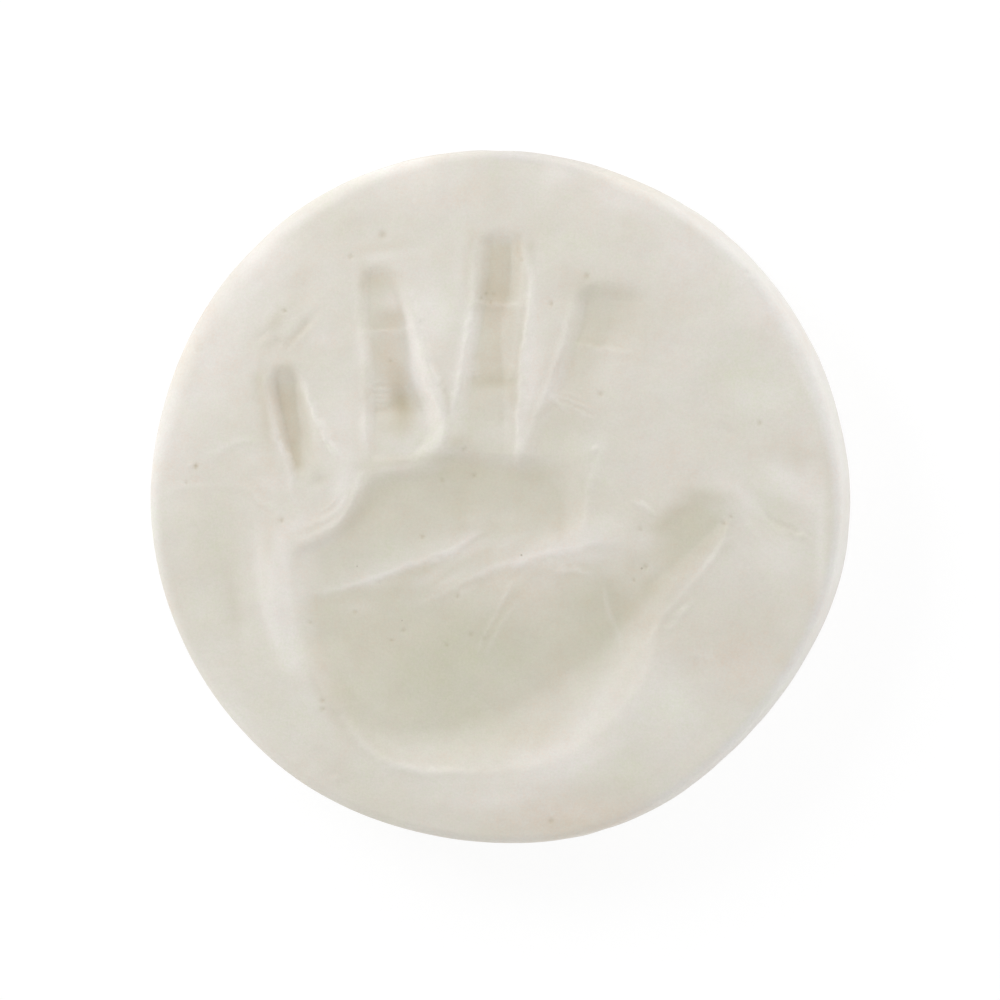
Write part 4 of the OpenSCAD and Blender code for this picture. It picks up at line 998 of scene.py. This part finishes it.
def print_depth(u, v, hand):
    """Depth of the palm and the fingers together, and how much painted shade darkens each print.

    The depths run into each other where they are alike. The darkest print counts: how firmly each
    pressed, times its own share.
    """
    depth, firm = palm_depth(u, v, hand)
    print_shade = PALM_SHADE_SHARE * firm
    for rows, place, deep, dark in (
        (THUMB_SHARES, THUMB_PLACE_SHARES, hand.thumb, THUMB_SHADE_SHARE),
        (INDEX_SHARES, INDEX_PLACE_SHARES, hand.index, INDEX_SHADE_SHARE),
        (MIDDLE_SHARES, MIDDLE_PLACE_SHARES, hand.middle, MIDDLE_SHADE_SHARE),
        (RING_SHARES, RING_PLACE_SHARES, hand.ring, RING_SHADE_SHARE),
        (LITTLE_SHARES, LITTLE_PLACE_SHARES, hand.little, LITTLE_SHADE_SHARE),
    ):
        other, firm = finger_depth(u, v, rows, place, deep)
        depth = deeper(depth, other, hand.melt)
        print_shade = np.maximum(print_shade, dark * firm)
    return depth, np.clip(print_shade, 0.0, 1.0)


def wall_mask(u, v, depth, hand):
    """How far the clay is a wall of the print: its slope, as a share of the steep one."""
    reach = SLOPE_REACH / hand.hand_length
    slope_x = (print_depth(u + reach, v, hand)[0] - depth) / SLOPE_REACH
    slope_y = (print_depth(u, v + reach, hand)[0] - depth) / SLOPE_REACH
    return np.clip(np.hypot(slope_x, slope_y) / STEEP_SLOPE, 0.0, 1.0)


def ridge_height(u, v, ridge):
    """A ridge along x or y: its height times a bell curve across its line, as wide as each side says."""
    way, low, high, rows = ridge
    rows = np.array(rows, float)
    along, across = (v, u) if way == "y" else (u, v)
    off = across - read_rows(along, rows, 1, ROW_EASE_SHARE)
    far = off / np.where(off > 0.0, high, low)
    return read_rows(along, rows, 2, ROW_EASE_SHARE) * np.exp(-far * far)


def patch_height(u, v, patch):
    """A dent, a swelling or a patch of colour: a bell curve over a turned ellipse."""
    x, y, length, width, turn, height = patch
    c, s = math.cos(math.radians(turn)), math.sin(math.radians(turn))
    far_x = ((u - x) * c + (v - y) * s) / length
    far_y = ((v - y) * c - (u - x) * s) / width
    return height * np.exp(-far_x * far_x - far_y * far_y)


def smooth_path(points, steps):
    """Points on a curve that passes through the given ones, in a number of steps between each two.

    Each span is a cubic. Its slope at a point is half the way from the point before to the one
    after. Beyond each end stands one point more, straight on and as far again.
    """
    p = np.array(points, float)
    p = np.vstack([2.0 * p[0] - p[1], p, 2.0 * p[-1] - p[-2]])
    t = np.linspace(0.0, 1.0, steps, endpoint=False)[:, None]
    spans = [
        0.5 * (2.0 * b + (c - a) * t + (2.0 * a - 5.0 * b + 4.0 * c - d) * t ** 2
               + (3.0 * b - a - 3.0 * c + d) * t ** 3)
        for a, b, c, d in zip(p[:-3], p[1:-2], p[2:-1], p[3:])
    ]
    return np.vstack(spans + [p[-2:-1]])


def nearest_on_path(u, v, path, reach):
    """Places in reach of a path, with their signed distance to it and the steps along it.

    In reach are the places in the path's box, made larger by the reach on every side. The distance
    is positive to the right of the path. Every span is tried, and the nearest kept.
    """
    low, high = path[:, :2].min(axis=0) - reach, path[:, :2].max(axis=0) + reach
    near = np.flatnonzero((u > low[0]) & (u < high[0]) & (v > low[1]) & (v < high[1]))
    place = np.stack([u[near], v[near]], axis=1)
    least = np.full(len(near), np.inf)
    side = np.zeros(len(near))
    along = np.zeros(len(near))
    for i, (a, b) in enumerate(zip(path[:-1, :2], path[1:, :2])):
        step, off = b - a, place - a
        t = np.clip((off @ step) / (step @ step), 0.0, 1.0)
        far = np.linalg.norm(off - t[:, None] * step, axis=1)
        closer = far < least
        least = np.where(closer, far, least)
        side = np.where(closer, np.sign(off[:, 0] * step[1] - off[:, 1] * step[0]), side)
        along = np.where(closer, i + t, along)
    return near, least * side, along


def bell_along(u, v, points, left, right):
    """A bell curve of the distance to a path through points, with its own width to each side.

    Gives the places near the path, the curve there, the steps along the path and the path itself.
    """
    path = smooth_path(points, LINE_STEPS)
    near, far, along = nearest_on_path(u, v, path, LINE_REACH * max(left, right))
    return near, np.exp(-(far / np.where(far > 0.0, right, left)) ** 2), along, path


def lip_height(u, v, lip):
    """A lip along a path: a bell curve of the distance times the height that the points give."""
    left, right, points = lip
    near, bell, along, path = bell_along(u, v, points, left, right)
    out = np.zeros_like(u)
    out[near] = np.interp(along, np.arange(len(path)), path[:, 2]) * bell
    return out


def line_height(u, v, line):
    """A thin line: a bell curve of the distance to its path, fading as a half ellipse to both ends."""
    height, width, points = line
    near, bell, along, path = bell_along(u, v, points, width, width)
    share = along / (len(path) - 1)
    out = np.zeros_like(u)
    out[near] = height * bell * np.sqrt(np.clip(4.0 * share * (1.0 - share), 0.0, 1.0))
    return out


def lattice_height(u, v, cell, seed):
    """Seeded random heights between -1 and 1 on a square lattice, joined by smooth steps."""
    table = np.random.default_rng(seed).uniform(-1.0, 1.0, (LATTICE, LATTICE))
    x, y = u / cell + LATTICE / 2.0, v / cell + LATTICE / 2.0
    i, j = np.floor(x).astype(int), np.floor(y).astype(int)
    s, t = smooth_step(x - i), smooth_step(y - j)
    i, j, next_i, next_j = i % LATTICE, j % LATTICE, (i + 1) % LATTICE, (j + 1) % LATTICE
    low = table[i, j] * (1.0 - s) + table[next_i, j] * s
    high = table[i, next_j] * (1.0 - s) + table[next_i, next_j] * s
    return low * (1.0 - t) + high * t


def lump_height(u, v, rows):
    """Lumps: the lattices of all rows together, each times its size."""
    return sum(size * lattice_height(u, v, cell, seed) for cell, size, seed in rows)


def total(height_of, u, v, rows):
    """The heights of all rows of one kind together."""
    return sum(height_of(u, v, row) for row in rows)


def face_relief(x, y, disc, hand):
    """Height of the face above its level at places in metres, and its masks: the prints' painted shade,
    paleness with painted highlight, stains with painted shade, and tint.

    Lips, ridges, skin lines, dents, slow waves and lumps add up, and the print and its pits are
    taken off. Lips, ridges and lines are shaken a little. Lips, ridges, lines and walls are paler,
    which is painted highlight; walls carry less of the prints' painted shade, and lips and lines are
    greener than the clay beside them.
    """
    u, v = (x - hand.hand_x) / hand.hand_length, (y - hand.hand_y) / hand.hand_length
    depth, print_shade = print_depth(u, v, hand)
    shake = lump_height(u, v, SHAKE_SHARES)
    lips = hand.lip * total(lip_height, u + shake, v + shake, LIP_SHARES)
    ridges = hand.ridge * total(ridge_height, u, v + shake, RIDGE_SHARES)
    lines = hand.skin_line * total(line_height, u, v + shake, LINE_SHARES)
    dents = hand.dent * total(patch_height, u, v, DENT_SHARES)
    pits = total(patch_height, u, v, [(px, py, r, r, 0, 1.0) for px, py, r in PIT_SHARES])
    waves = disc.face_wave * sum(
        height * np.sin(2.0 * np.pi * (u * a + v * b) + np.radians(start))
        for a, b, start, height in WAVE_SHARES)
    lumps = hand.lump * lump_height(u, v, LUMP_SHARES)
    height = lips + ridges + lines + dents + waves + lumps - hand.pit * pits - depth

    wall = wall_mask(u, v, depth, hand)
    # Painted shade in the prints, with less of it on steep walls
    print_shade = print_shade * (1.0 - WALL_SHADE_SHARE * wall)
    # Painted highlight: lips, ridges, lines, walls and the listed patches are made paler
    crests = (lips + RIDGE_HIGHLIGHT_SHARE * ridges + lines) / hand.lip
    pale_and_highlight = np.clip(crests + total(patch_height, u, v, PALE_AND_HIGHLIGHT_SHARES), 0.0, 1.0)
    pale_and_highlight = 1.0 - (1.0 - pale_and_highlight) * (1.0 - WALL_HIGHLIGHT_SHARE * wall)
    # Stains with painted shade under creases and lips, and pits made darker
    stain_and_shade = total(patch_height, u, v, STAIN_AND_SHADE_SHARES) + PIT_DARKEN_SHARE * pits
    tint = total(patch_height, u, v, TINT_SHARES) - CREST_GREEN_SHARE * (lips + lines) / hand.lip
    return height, print_shade, pale_and_highlight, np.clip(stain_and_shade, 0.0, 1.0), tint


def edge_radius(a, disc):
    """Radius of the edge at an angle: half the diameter plus the sum of the wander's lobes."""
    lobes = sum(c * np.cos(k * a) + s * np.sin(k * a) for k, c, s in WANDER_SHARES)
    return disc.diameter / 2.0 + disc.wander * lobes


def round_width(a, disc):
    """Width of the face's rounding at an angle: a smooth step from the crisp one to the soft one."""
    softness = np.interp(np.degrees(a) % 360.0, RIM_SHARES[:, 0], RIM_SHARES[:, 1])
    return disc.crisp_round + (disc.soft_round - disc.crisp_round) * smooth_step(softness)


def ring_angles(count):
    """Angles of points spread evenly round a ring, from 0."""
    return np.arange(count) * 2.0 * np.pi / count


def disc_surface(disc, hand):
    """Vertices, faces and masks of the disc.

    The face is a grid of rings, each with RING_POINTS more than the last. The rounding, the side
    and the back's edge are rings of as many points as the face's last one, and the back closes in
    a point. The rounding drops as a quarter of an ellipse, the side swells as half a sine wave,
    and the back's edge is a quarter of a circle. At last the whole is centred on its outline.
    """
    rings = disc.face_rings
    counts = [RING_POINTS * k for k in range(1, rings + 1)]
    angle = np.concatenate([[0.0]] + [ring_angles(count) for count in counts])
    share = np.concatenate([[0.0]] + [np.full(count, count / counts[-1]) for count in counts])
    inner = edge_radius(angle, disc) - disc.side_swell - round_width(angle, disc)
    x, y = inner * share * np.cos(angle), inner * share * np.sin(angle)
    height, *mask = face_relief(x, y, disc, hand)
    points = [np.stack([x, y, disc.thickness + height], axis=1)]
    masks = [np.stack([*mask, 0.0 * x], axis=1)]

    a = ring_angles(counts[-1])
    edge, width = edge_radius(a, disc) - disc.side_swell, round_width(a, disc)
    # Painted highlight above 0 and painted shade below 0 on the edge, read at each angle
    rim_light_and_shade = np.interp(np.degrees(a), RIM_SHARES[:, 0], RIM_SHARES[:, 2])

    def add_ring(out, z, mask=(0.0, 0.0, 0.0, 0.0), rim=rim_light_and_shade):
        points.append(np.stack([out * np.cos(a), out * np.sin(a), z + 0.0 * a], axis=1))
        masks.append(np.stack([value + 0.0 * a for value in (*mask, rim)], axis=1))

    for i in range(1, ROUND_STEPS + 1):
        turn = math.pi / 2.0 * i / ROUND_STEPS
        out = edge - width * (1.0 - math.sin(turn))
        height, *mask = face_relief(out * np.cos(a), out * np.sin(a), disc, hand)
        z = disc.thickness + height - width * ROUND_DROP_SHARE * (1.0 - math.cos(turn))
        add_ring(out, z, mask, rim_light_and_shade * min(1.0, i / ROUND_STEPS / RIM_FADE_SHARE))
    top = disc.thickness + height - width * ROUND_DROP_SHARE
    side_u, side_v = np.stack([np.cos(a), np.sin(a)]) * disc.diameter / 2.0 / hand.hand_length
    for i in range(1, SIDE_STEPS + 1):
        share = i / (SIDE_STEPS + 1)
        z = top + (disc.back_round - top) * share
        rise = z / hand.hand_length
        lumps = hand.lump * lump_height(side_u + rise, side_v - rise, SIDE_LUMP_SHARES)
        add_ring(edge + (disc.side_swell + lumps) * math.sin(math.pi * share), z)
    for i in range(BACK_STEPS + 1):
        turn = math.pi / 2.0 * i / BACK_STEPS
        add_ring(edge - disc.back_round * (1.0 - math.cos(turn)), disc.back_round * (1.0 - math.sin(turn)))
    for i in range(1, BACK_RINGS):
        add_ring((edge - disc.back_round) * (1.0 - i / BACK_RINGS), 0.0)
    points.append(np.zeros((1, 3)))
    masks.append(np.zeros((1, len(MASKS))))

    points = np.vstack(points)
    points[:, :2] -= (points[:, :2].min(axis=0) + points[:, :2].max(axis=0)) / 2.0
    return points, ring_faces(rings, len(points) - 1), np.vstack(masks)


def ring_faces(rings, last):
    """Triangles between the face's rings, between the rim's rings, and at the middle of the back."""
    def first(k):
        return 0 if k == 0 else 1 + RING_POINTS * k * (k - 1) // 2

    faces = []
    for k in range(1, rings + 1):
        sector, i = np.divmod(np.arange(RING_POINTS * k), k)
        outer = sector * k + i
        inner = sector * (k - 1) + i
        inner_count = max(1, RING_POINTS * (k - 1))
        a = first(k) + outer
        b = first(k) + (outer + 1) % (RING_POINTS * k)
        c = first(k - 1) + inner % inner_count
        d = first(k - 1) + (inner + 1) % inner_count
        faces.append(np.stack([a, b, c], axis=1))
        faces.append(np.stack([b, d, c], axis=1)[i < k - 1])
    around = RING_POINTS * rings
    j = np.arange(around)
    following = (j + 1) % around
    for base in range(first(rings), last - around, around):
        a, b, c, d = base + j, base + following, base + around + following, base + around + j
        faces.append(np.stack([a, c, b], axis=1))
        faces.append(np.stack([a, d, c], axis=1))
    base = last - around
    faces.append(np.stack([base + following, base + j, np.full(around, last)], axis=1))
    return np.vstack(faces)


def mesh_object(name, points, faces, attributes):
    """A smooth-shaded mesh object from arrays, with one value per vertex for each attribute."""
    mesh = bpy.data.meshes.new(name)
    mesh.vertices.add(len(points))
    mesh.vertices.foreach_set("co", points.astype(np.float32).ravel())
    mesh.loops.add(faces.size)
    mesh.loops.foreach_set("vertex_index", faces.astype(np.int32).ravel())
    mesh.polygons.add(len(faces))
    mesh.polygons.foreach_set("loop_start", np.arange(0, faces.size, 3, dtype=np.int32))
    mesh.polygons.foreach_set("use_smooth", np.ones(len(faces), dtype=bool))
    mesh.update(calc_edges=True)
    mesh.validate()
    for key, values in attributes.items():
        layer = mesh.attributes.new(key, "FLOAT", "POINT")
        layer.data.foreach_set("value", values.astype(np.float32))
    made = bpy.data.objects.new(name, mesh)
    bpy.context.scene.collection.objects.link(made)
    return made


class NodeTree:
    """Short calls that add nodes to a node tree. Each but add gives the socket of the result."""

    def __init__(self, tree):
        self.tree = tree

    def add(self, kind, inputs=None, **settings):
        """A node, with a value or a link for each input that is named or numbered."""
        node = self.tree.nodes.new(kind)
        for key, value in settings.items():
            setattr(node, key, value)
        for key, value in (inputs or {}).items():
            if isinstance(value, bpy.types.NodeSocket):
                self.tree.links.new(value, node.inputs[key])
            else:
                node.inputs[key].default_value = value
        return node

    def math(self, operation, *values):
        return self.add("ShaderNodeMath", dict(enumerate(values)), operation=operation).outputs[0]

    def attribute(self, name):
        return self.add("ShaderNodeAttribute", attribute_name=name).outputs["Fac"]

    def noise(self, place, settings):
        scale, detail, roughness = settings
        return self.add("ShaderNodeTexNoise", {
            "Vector": place, "Scale": scale, "Detail": detail, "Roughness": roughness}).outputs["Fac"]

    def band(self, value, settings):
        """A value spread out from one range to another, and held at its ends."""
        low, high, to_low, to_high = settings
        return self.add("ShaderNodeMapRange", {
            "Value": value, "From Min": low, "From Max": high,
            "To Min": to_low, "To Max": to_high}).outputs["Result"]

    def mix(self, share, a, b, blend="MIX"):
        """A mix of colours. Inputs 6 and 7 of a Mix node are its colours, and output 2 the result."""
        return self.add(
            "ShaderNodeMix", {0: share, 6: a, 7: b}, data_type="RGBA", blend_type=blend).outputs[2]


def colour(values):
    """A colour with its alpha, as sockets take it."""
    return (*values, 1.0)


def clay_grain_group():
    """Grain, mottling and specks of dried clay: the colour that they give it, and their height."""
    name = "Clay grain"
    if name in bpy.data.node_groups:
        return bpy.data.node_groups[name]
    group = bpy.data.node_groups.new(name, "ShaderNodeTree")
    for label, kind in (
        ("Base", "NodeSocketColor"),
        ("Speck Colour", "NodeSocketColor"),
        ("Mottle", "NodeSocketFloat"),
        ("Tint", "NodeSocketFloat"),
        ("Specks", "NodeSocketFloat"),
    ):
        group.interface.new_socket(label, in_out="INPUT", socket_type=kind)
    group.interface.new_socket("Colour", in_out="OUTPUT", socket_type="NodeSocketColor")
    group.interface.new_socket("Height", in_out="OUTPUT", socket_type="NodeSocketFloat")
    nodes = NodeTree(group)
    given = nodes.add("NodeGroupInput").outputs
    place = nodes.add("ShaderNodeTexCoord").outputs["Object"]

    broad = nodes.band(nodes.noise(place, BROAD_NOISE), BROAD_BAND)
    small = nodes.band(nodes.noise(place, SMALL_NOISE), SMALL_BAND)
    finest = nodes.band(nodes.noise(place, FINEST_NOISE), FINEST_BAND)
    fine = nodes.noise(place, FINE_NOISE)
    patches = nodes.math("ADD", nodes.math("ADD", broad, small), finest)
    tint = nodes.math("ADD", nodes.math("MULTIPLY", patches, given["Mottle"]), given["Tint"])
    tinted = given["Base"]
    for share, band, full_tint in (
        (tint, PINK_BAND, PINK_TINT),
        (tint, GREEN_BAND, GREEN_TINT),
        (nodes.noise(place, SMUDGE_NOISE), SMUDGE_BAND, SMUDGE_TINT),
        (nodes.noise(place, YELLOW_NOISE), YELLOW_BAND, YELLOW_TINT),
        (fine, FINE_BAND, FINE_TINT),
    ):
        tinted = nodes.mix(nodes.band(share, band), tinted, colour(full_tint), "MULTIPLY")

    dots = nodes.add("ShaderNodeTexVoronoi", {"Vector": place, "Scale": SPECK_SCALE}, feature="F1")
    chance = nodes.add("ShaderNodeSeparateColor", {0: dots.outputs["Color"]}).outputs[0]
    likely = nodes.math("MULTIPLY_ADD", given["Specks"], SPECK_SHADE_SHARE, chance)
    inside = nodes.math("SUBTRACT", nodes.band(likely, SPECK_SIZE_BAND), dots.outputs["Distance"])
    speck = nodes.band(inside, SPECK_EDGE_BAND)
    coarse = nodes.math("MULTIPLY", nodes.noise(place, COARSE_NOISE), COARSE_HEIGHT)
    height = nodes.math("SUBTRACT", nodes.math("ADD", fine, coarse), speck)
    nodes.add("NodeGroupOutput", {
        "Colour": nodes.mix(speck, tinted, given["Speck Colour"]), "Height": height})
    return group


def clay_material(looks):
    """Dried clay: yellower and darker in the hollows, a painted shade, and paler on crests, a painted
    highlight, with grain, mottling and specks.
    """
    material = bpy.data.materials.new("dried_clay")
    material.use_nodes = True
    material.node_tree.nodes.clear()
    nodes = NodeTree(material.node_tree)
    print_shade, pale_and_highlight, stain_and_shade, tint, rim = (nodes.attribute(name) for name in MASKS)
    base = colour(looks.face)
    # Painted shade in the hollows, painted highlight on crests, stains with painted shade, and painted
    # highlight and shade on the edge
    for share, full_colour in (
        (print_shade, looks.hollow_shade),
        (pale_and_highlight, looks.crest_highlight),
        (stain_and_shade, looks.stain_and_shade),
        (rim, looks.rim),
        (nodes.math("MULTIPLY", rim, -1.0), looks.rim_shade),
    ):
        base = nodes.mix(share, base, colour(full_colour))
    grain = nodes.add(
        "ShaderNodeGroup",
        {"Base": base, "Speck Colour": colour(looks.speck), "Mottle": MOTTLE, "Tint": tint, "Specks": print_shade},
        node_tree=clay_grain_group())
    bump = nodes.add("ShaderNodeBump", {
        "Height": grain.outputs["Height"], "Strength": 1.0, "Distance": looks.grain_height})
    shader = nodes.add("ShaderNodeBsdfPrincipled", {
        "Base Color": grain.outputs["Colour"], "Roughness": looks.roughness,
        "Normal": bump.outputs["Normal"]})
    nodes.add("ShaderNodeOutputMaterial", {"Surface": shader.outputs["BSDF"]})
    return material


class KEEPSAKE_OT_make_disc(Operator):
    """Makes the disc of clay with the hand pressed into it"""
    bl_idname = "keepsake.make_disc"
    bl_label = "Make the clay disc"

    def execute(self, context):
        scene = context.scene
        points, faces, masks = disc_surface(scene.keepsake_disc, scene.keepsake_print)
        made = mesh_object("pressed_clay", points, faces, dict(zip(MASKS, masks.T)))
        made.data.materials.append(clay_material(scene.keepsake_looks))
        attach(made, "root")
        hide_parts(NODE)
        return {"FINISHED"}


def floor_material():
    """A white floor that keeps a soft shadow: plain matt, and lit by itself only where the camera looks."""
    material = bpy.data.materials.new("white_floor")
    material.use_nodes = True
    material.node_tree.nodes.clear()
    nodes = NodeTree(material.node_tree)
    matt = nodes.add("ShaderNodeBsdfDiffuse", {"Color": colour([FLOOR_WHITE] * 3)})
    white = nodes.add("ShaderNodeEmission", {"Color": colour([1.0] * 3), "Strength": FLOOR_GLOW})
    seen = nodes.math(
        "MULTIPLY", nodes.add("ShaderNodeLightPath").outputs["Is Camera Ray"], FLOOR_GLOW_SHARE)
    mixed = nodes.add("ShaderNodeMixShader", {0: seen, 1: matt.outputs[0], 2: white.outputs[0]})
    nodes.add("ShaderNodeOutputMaterial", {"Surface": mixed.outputs[0]})
    return material


class KEEPSAKE_OT_make_stage(Operator):
    """Makes the floor, the lights and the camera"""
    bl_idname = "keepsake.make_stage"
    bl_label = "Make the stage"

    def execute(self, context):
        scene = context.scene
        stage = scene.keepsake_stage
        self.make_floor(scene, stage)
        self.make_lights(scene, stage)
        self.make_camera(scene, stage)
        scene.view_settings.view_transform = "Standard"
        return {"FINISHED"}

    def make_floor(self, scene, stage):
        half = stage.floor_size / 2.0
        corners = [(-half, -half, 0), (half, -half, 0), (half, half, 0), (-half, half, 0)]
        mesh = bpy.data.meshes.new("floor")
        mesh.from_pydata(corners, [], [(0, 1, 2, 3)])
        mesh.materials.append(floor_material())
        floor = bpy.data.objects.new("floor", mesh)
        scene.collection.objects.link(floor)

    def make_lights(self, scene, stage):
        """Light from white walls all around, brightest at the horizon, with a key and a low fill lamp."""
        world = bpy.data.worlds.new("studio")
        world.use_nodes = True
        nodes = NodeTree(world.node_tree)
        way = nodes.add("ShaderNodeTexCoord").outputs["Generated"]
        height = nodes.add("ShaderNodeSeparateXYZ", {0: way}).outputs["Z"]
        strength = nodes.band(height, (0.0, 1.0, stage.horizon, stage.zenith))
        background = world.node_tree.nodes["Background"]
        background.inputs["Color"].default_value = colour([1.0] * 3)
        world.node_tree.links.new(strength, background.inputs["Strength"])
        scene.world = world
        self.add_lamp(scene, "key", stage.key_power, KEY_ANGLES)
        self.add_lamp(scene, "fill", stage.fill_power, FILL_ANGLES)

    def add_lamp(self, scene, name, power, angles):
        """A square area light that faces the disc, at an angle round it and one above the floor."""
        lamp = bpy.data.lights.new(name, "AREA")
        lamp.shape = "SQUARE"
        lamp.size = LAMP_SIZE
        lamp.energy = power
        around, up = (math.radians(angle) for angle in angles)
        towards = Vector((math.cos(up) * math.cos(around), math.cos(up) * math.sin(around), math.sin(up)))
        made = bpy.data.objects.new(name, lamp)
        made.location = towards * LAMP_DISTANCE
        made.rotation_euler = towards.to_track_quat("Z", "Y").to_euler()
        scene.collection.objects.link(made)

    def make_camera(self, scene, stage):
        """The camera leans from the face's normal by its tilt, towards its side. +Y is up in the picture."""
        back = Vector((
            math.sin(stage.camera_tilt) * math.cos(stage.camera_side),
            math.sin(stage.camera_tilt) * math.sin(stage.camera_side),
            math.cos(stage.camera_tilt)))
        right = Vector((0, 1, 0)).cross(back).normalized()
        up = back.cross(right)
        aim = Vector((0, 0, AIM_HEIGHT)) + right * AIM_RIGHT - up * AIM_DOWN
        data = bpy.data.cameras.new("camera")
        data.sensor_width = SENSOR_WIDTH
        data.lens = SENSOR_WIDTH * stage.camera_distance / stage.view_width
        data.clip_start, data.clip_end = CAMERA_CLIP
        camera = bpy.data.objects.new("camera", data)
        turned = Matrix((right, up, back)).transposed().to_4x4()
        camera.matrix_world = Matrix.Translation(aim + back * stage.camera_distance) @ turned
        scene.collection.objects.link(camera)
        scene.camera = camera


class KEEPSAKE_PT_panel(Panel):
    """Lists the keepsake's operators and sizes in the 3D view's sidebar"""
    bl_idname = "KEEPSAKE_PT_panel"
    bl_label = "Hand print keepsake"
    bl_space_type = "VIEW_3D"
    bl_region_type = "UI"
    bl_category = "Keepsake"

    def draw(self, context):
        scene = context.scene
        for title, group, operator in (
            ("Disc", scene.keepsake_disc, None),
            ("Print", scene.keepsake_print, None),
            ("Clay", scene.keepsake_looks, KEEPSAKE_OT_make_disc.bl_idname),
            ("Stage", scene.keepsake_stage, KEEPSAKE_OT_make_stage.bl_idname),
        ):
            box = self.layout.box()
            box.label(text=title)
            for key in group.__annotations__:
                box.prop(group, key)
            if operator:
                box.operator(operator)


GROUPS = (
    ("keepsake_disc", DiscSizes),
    ("keepsake_print", PrintSizes),
    ("keepsake_looks", ClayLooks),
    ("keepsake_stage", StageSizes),
)
CLASSES = (KEEPSAKE_OT_make_disc, KEEPSAKE_OT_make_stage, KEEPSAKE_PT_panel)


def register():
    for name, group in GROUPS:
        bpy.utils.register_class(group)
        setattr(bpy.types.Scene, name, PointerProperty(type=group))
    for one in CLASSES:
        bpy.utils.register_class(one)


def unregister():
    for one in reversed(CLASSES):
        bpy.utils.unregister_class(one)
    for name, group in reversed(GROUPS):
        delattr(bpy.types.Scene, name)
        bpy.utils.unregister_class(group)


def main():
    register()
    bpy.ops.keepsake.make_disc()
    bpy.ops.keepsake.make_stage()


if __name__ == "__main__":
    main()
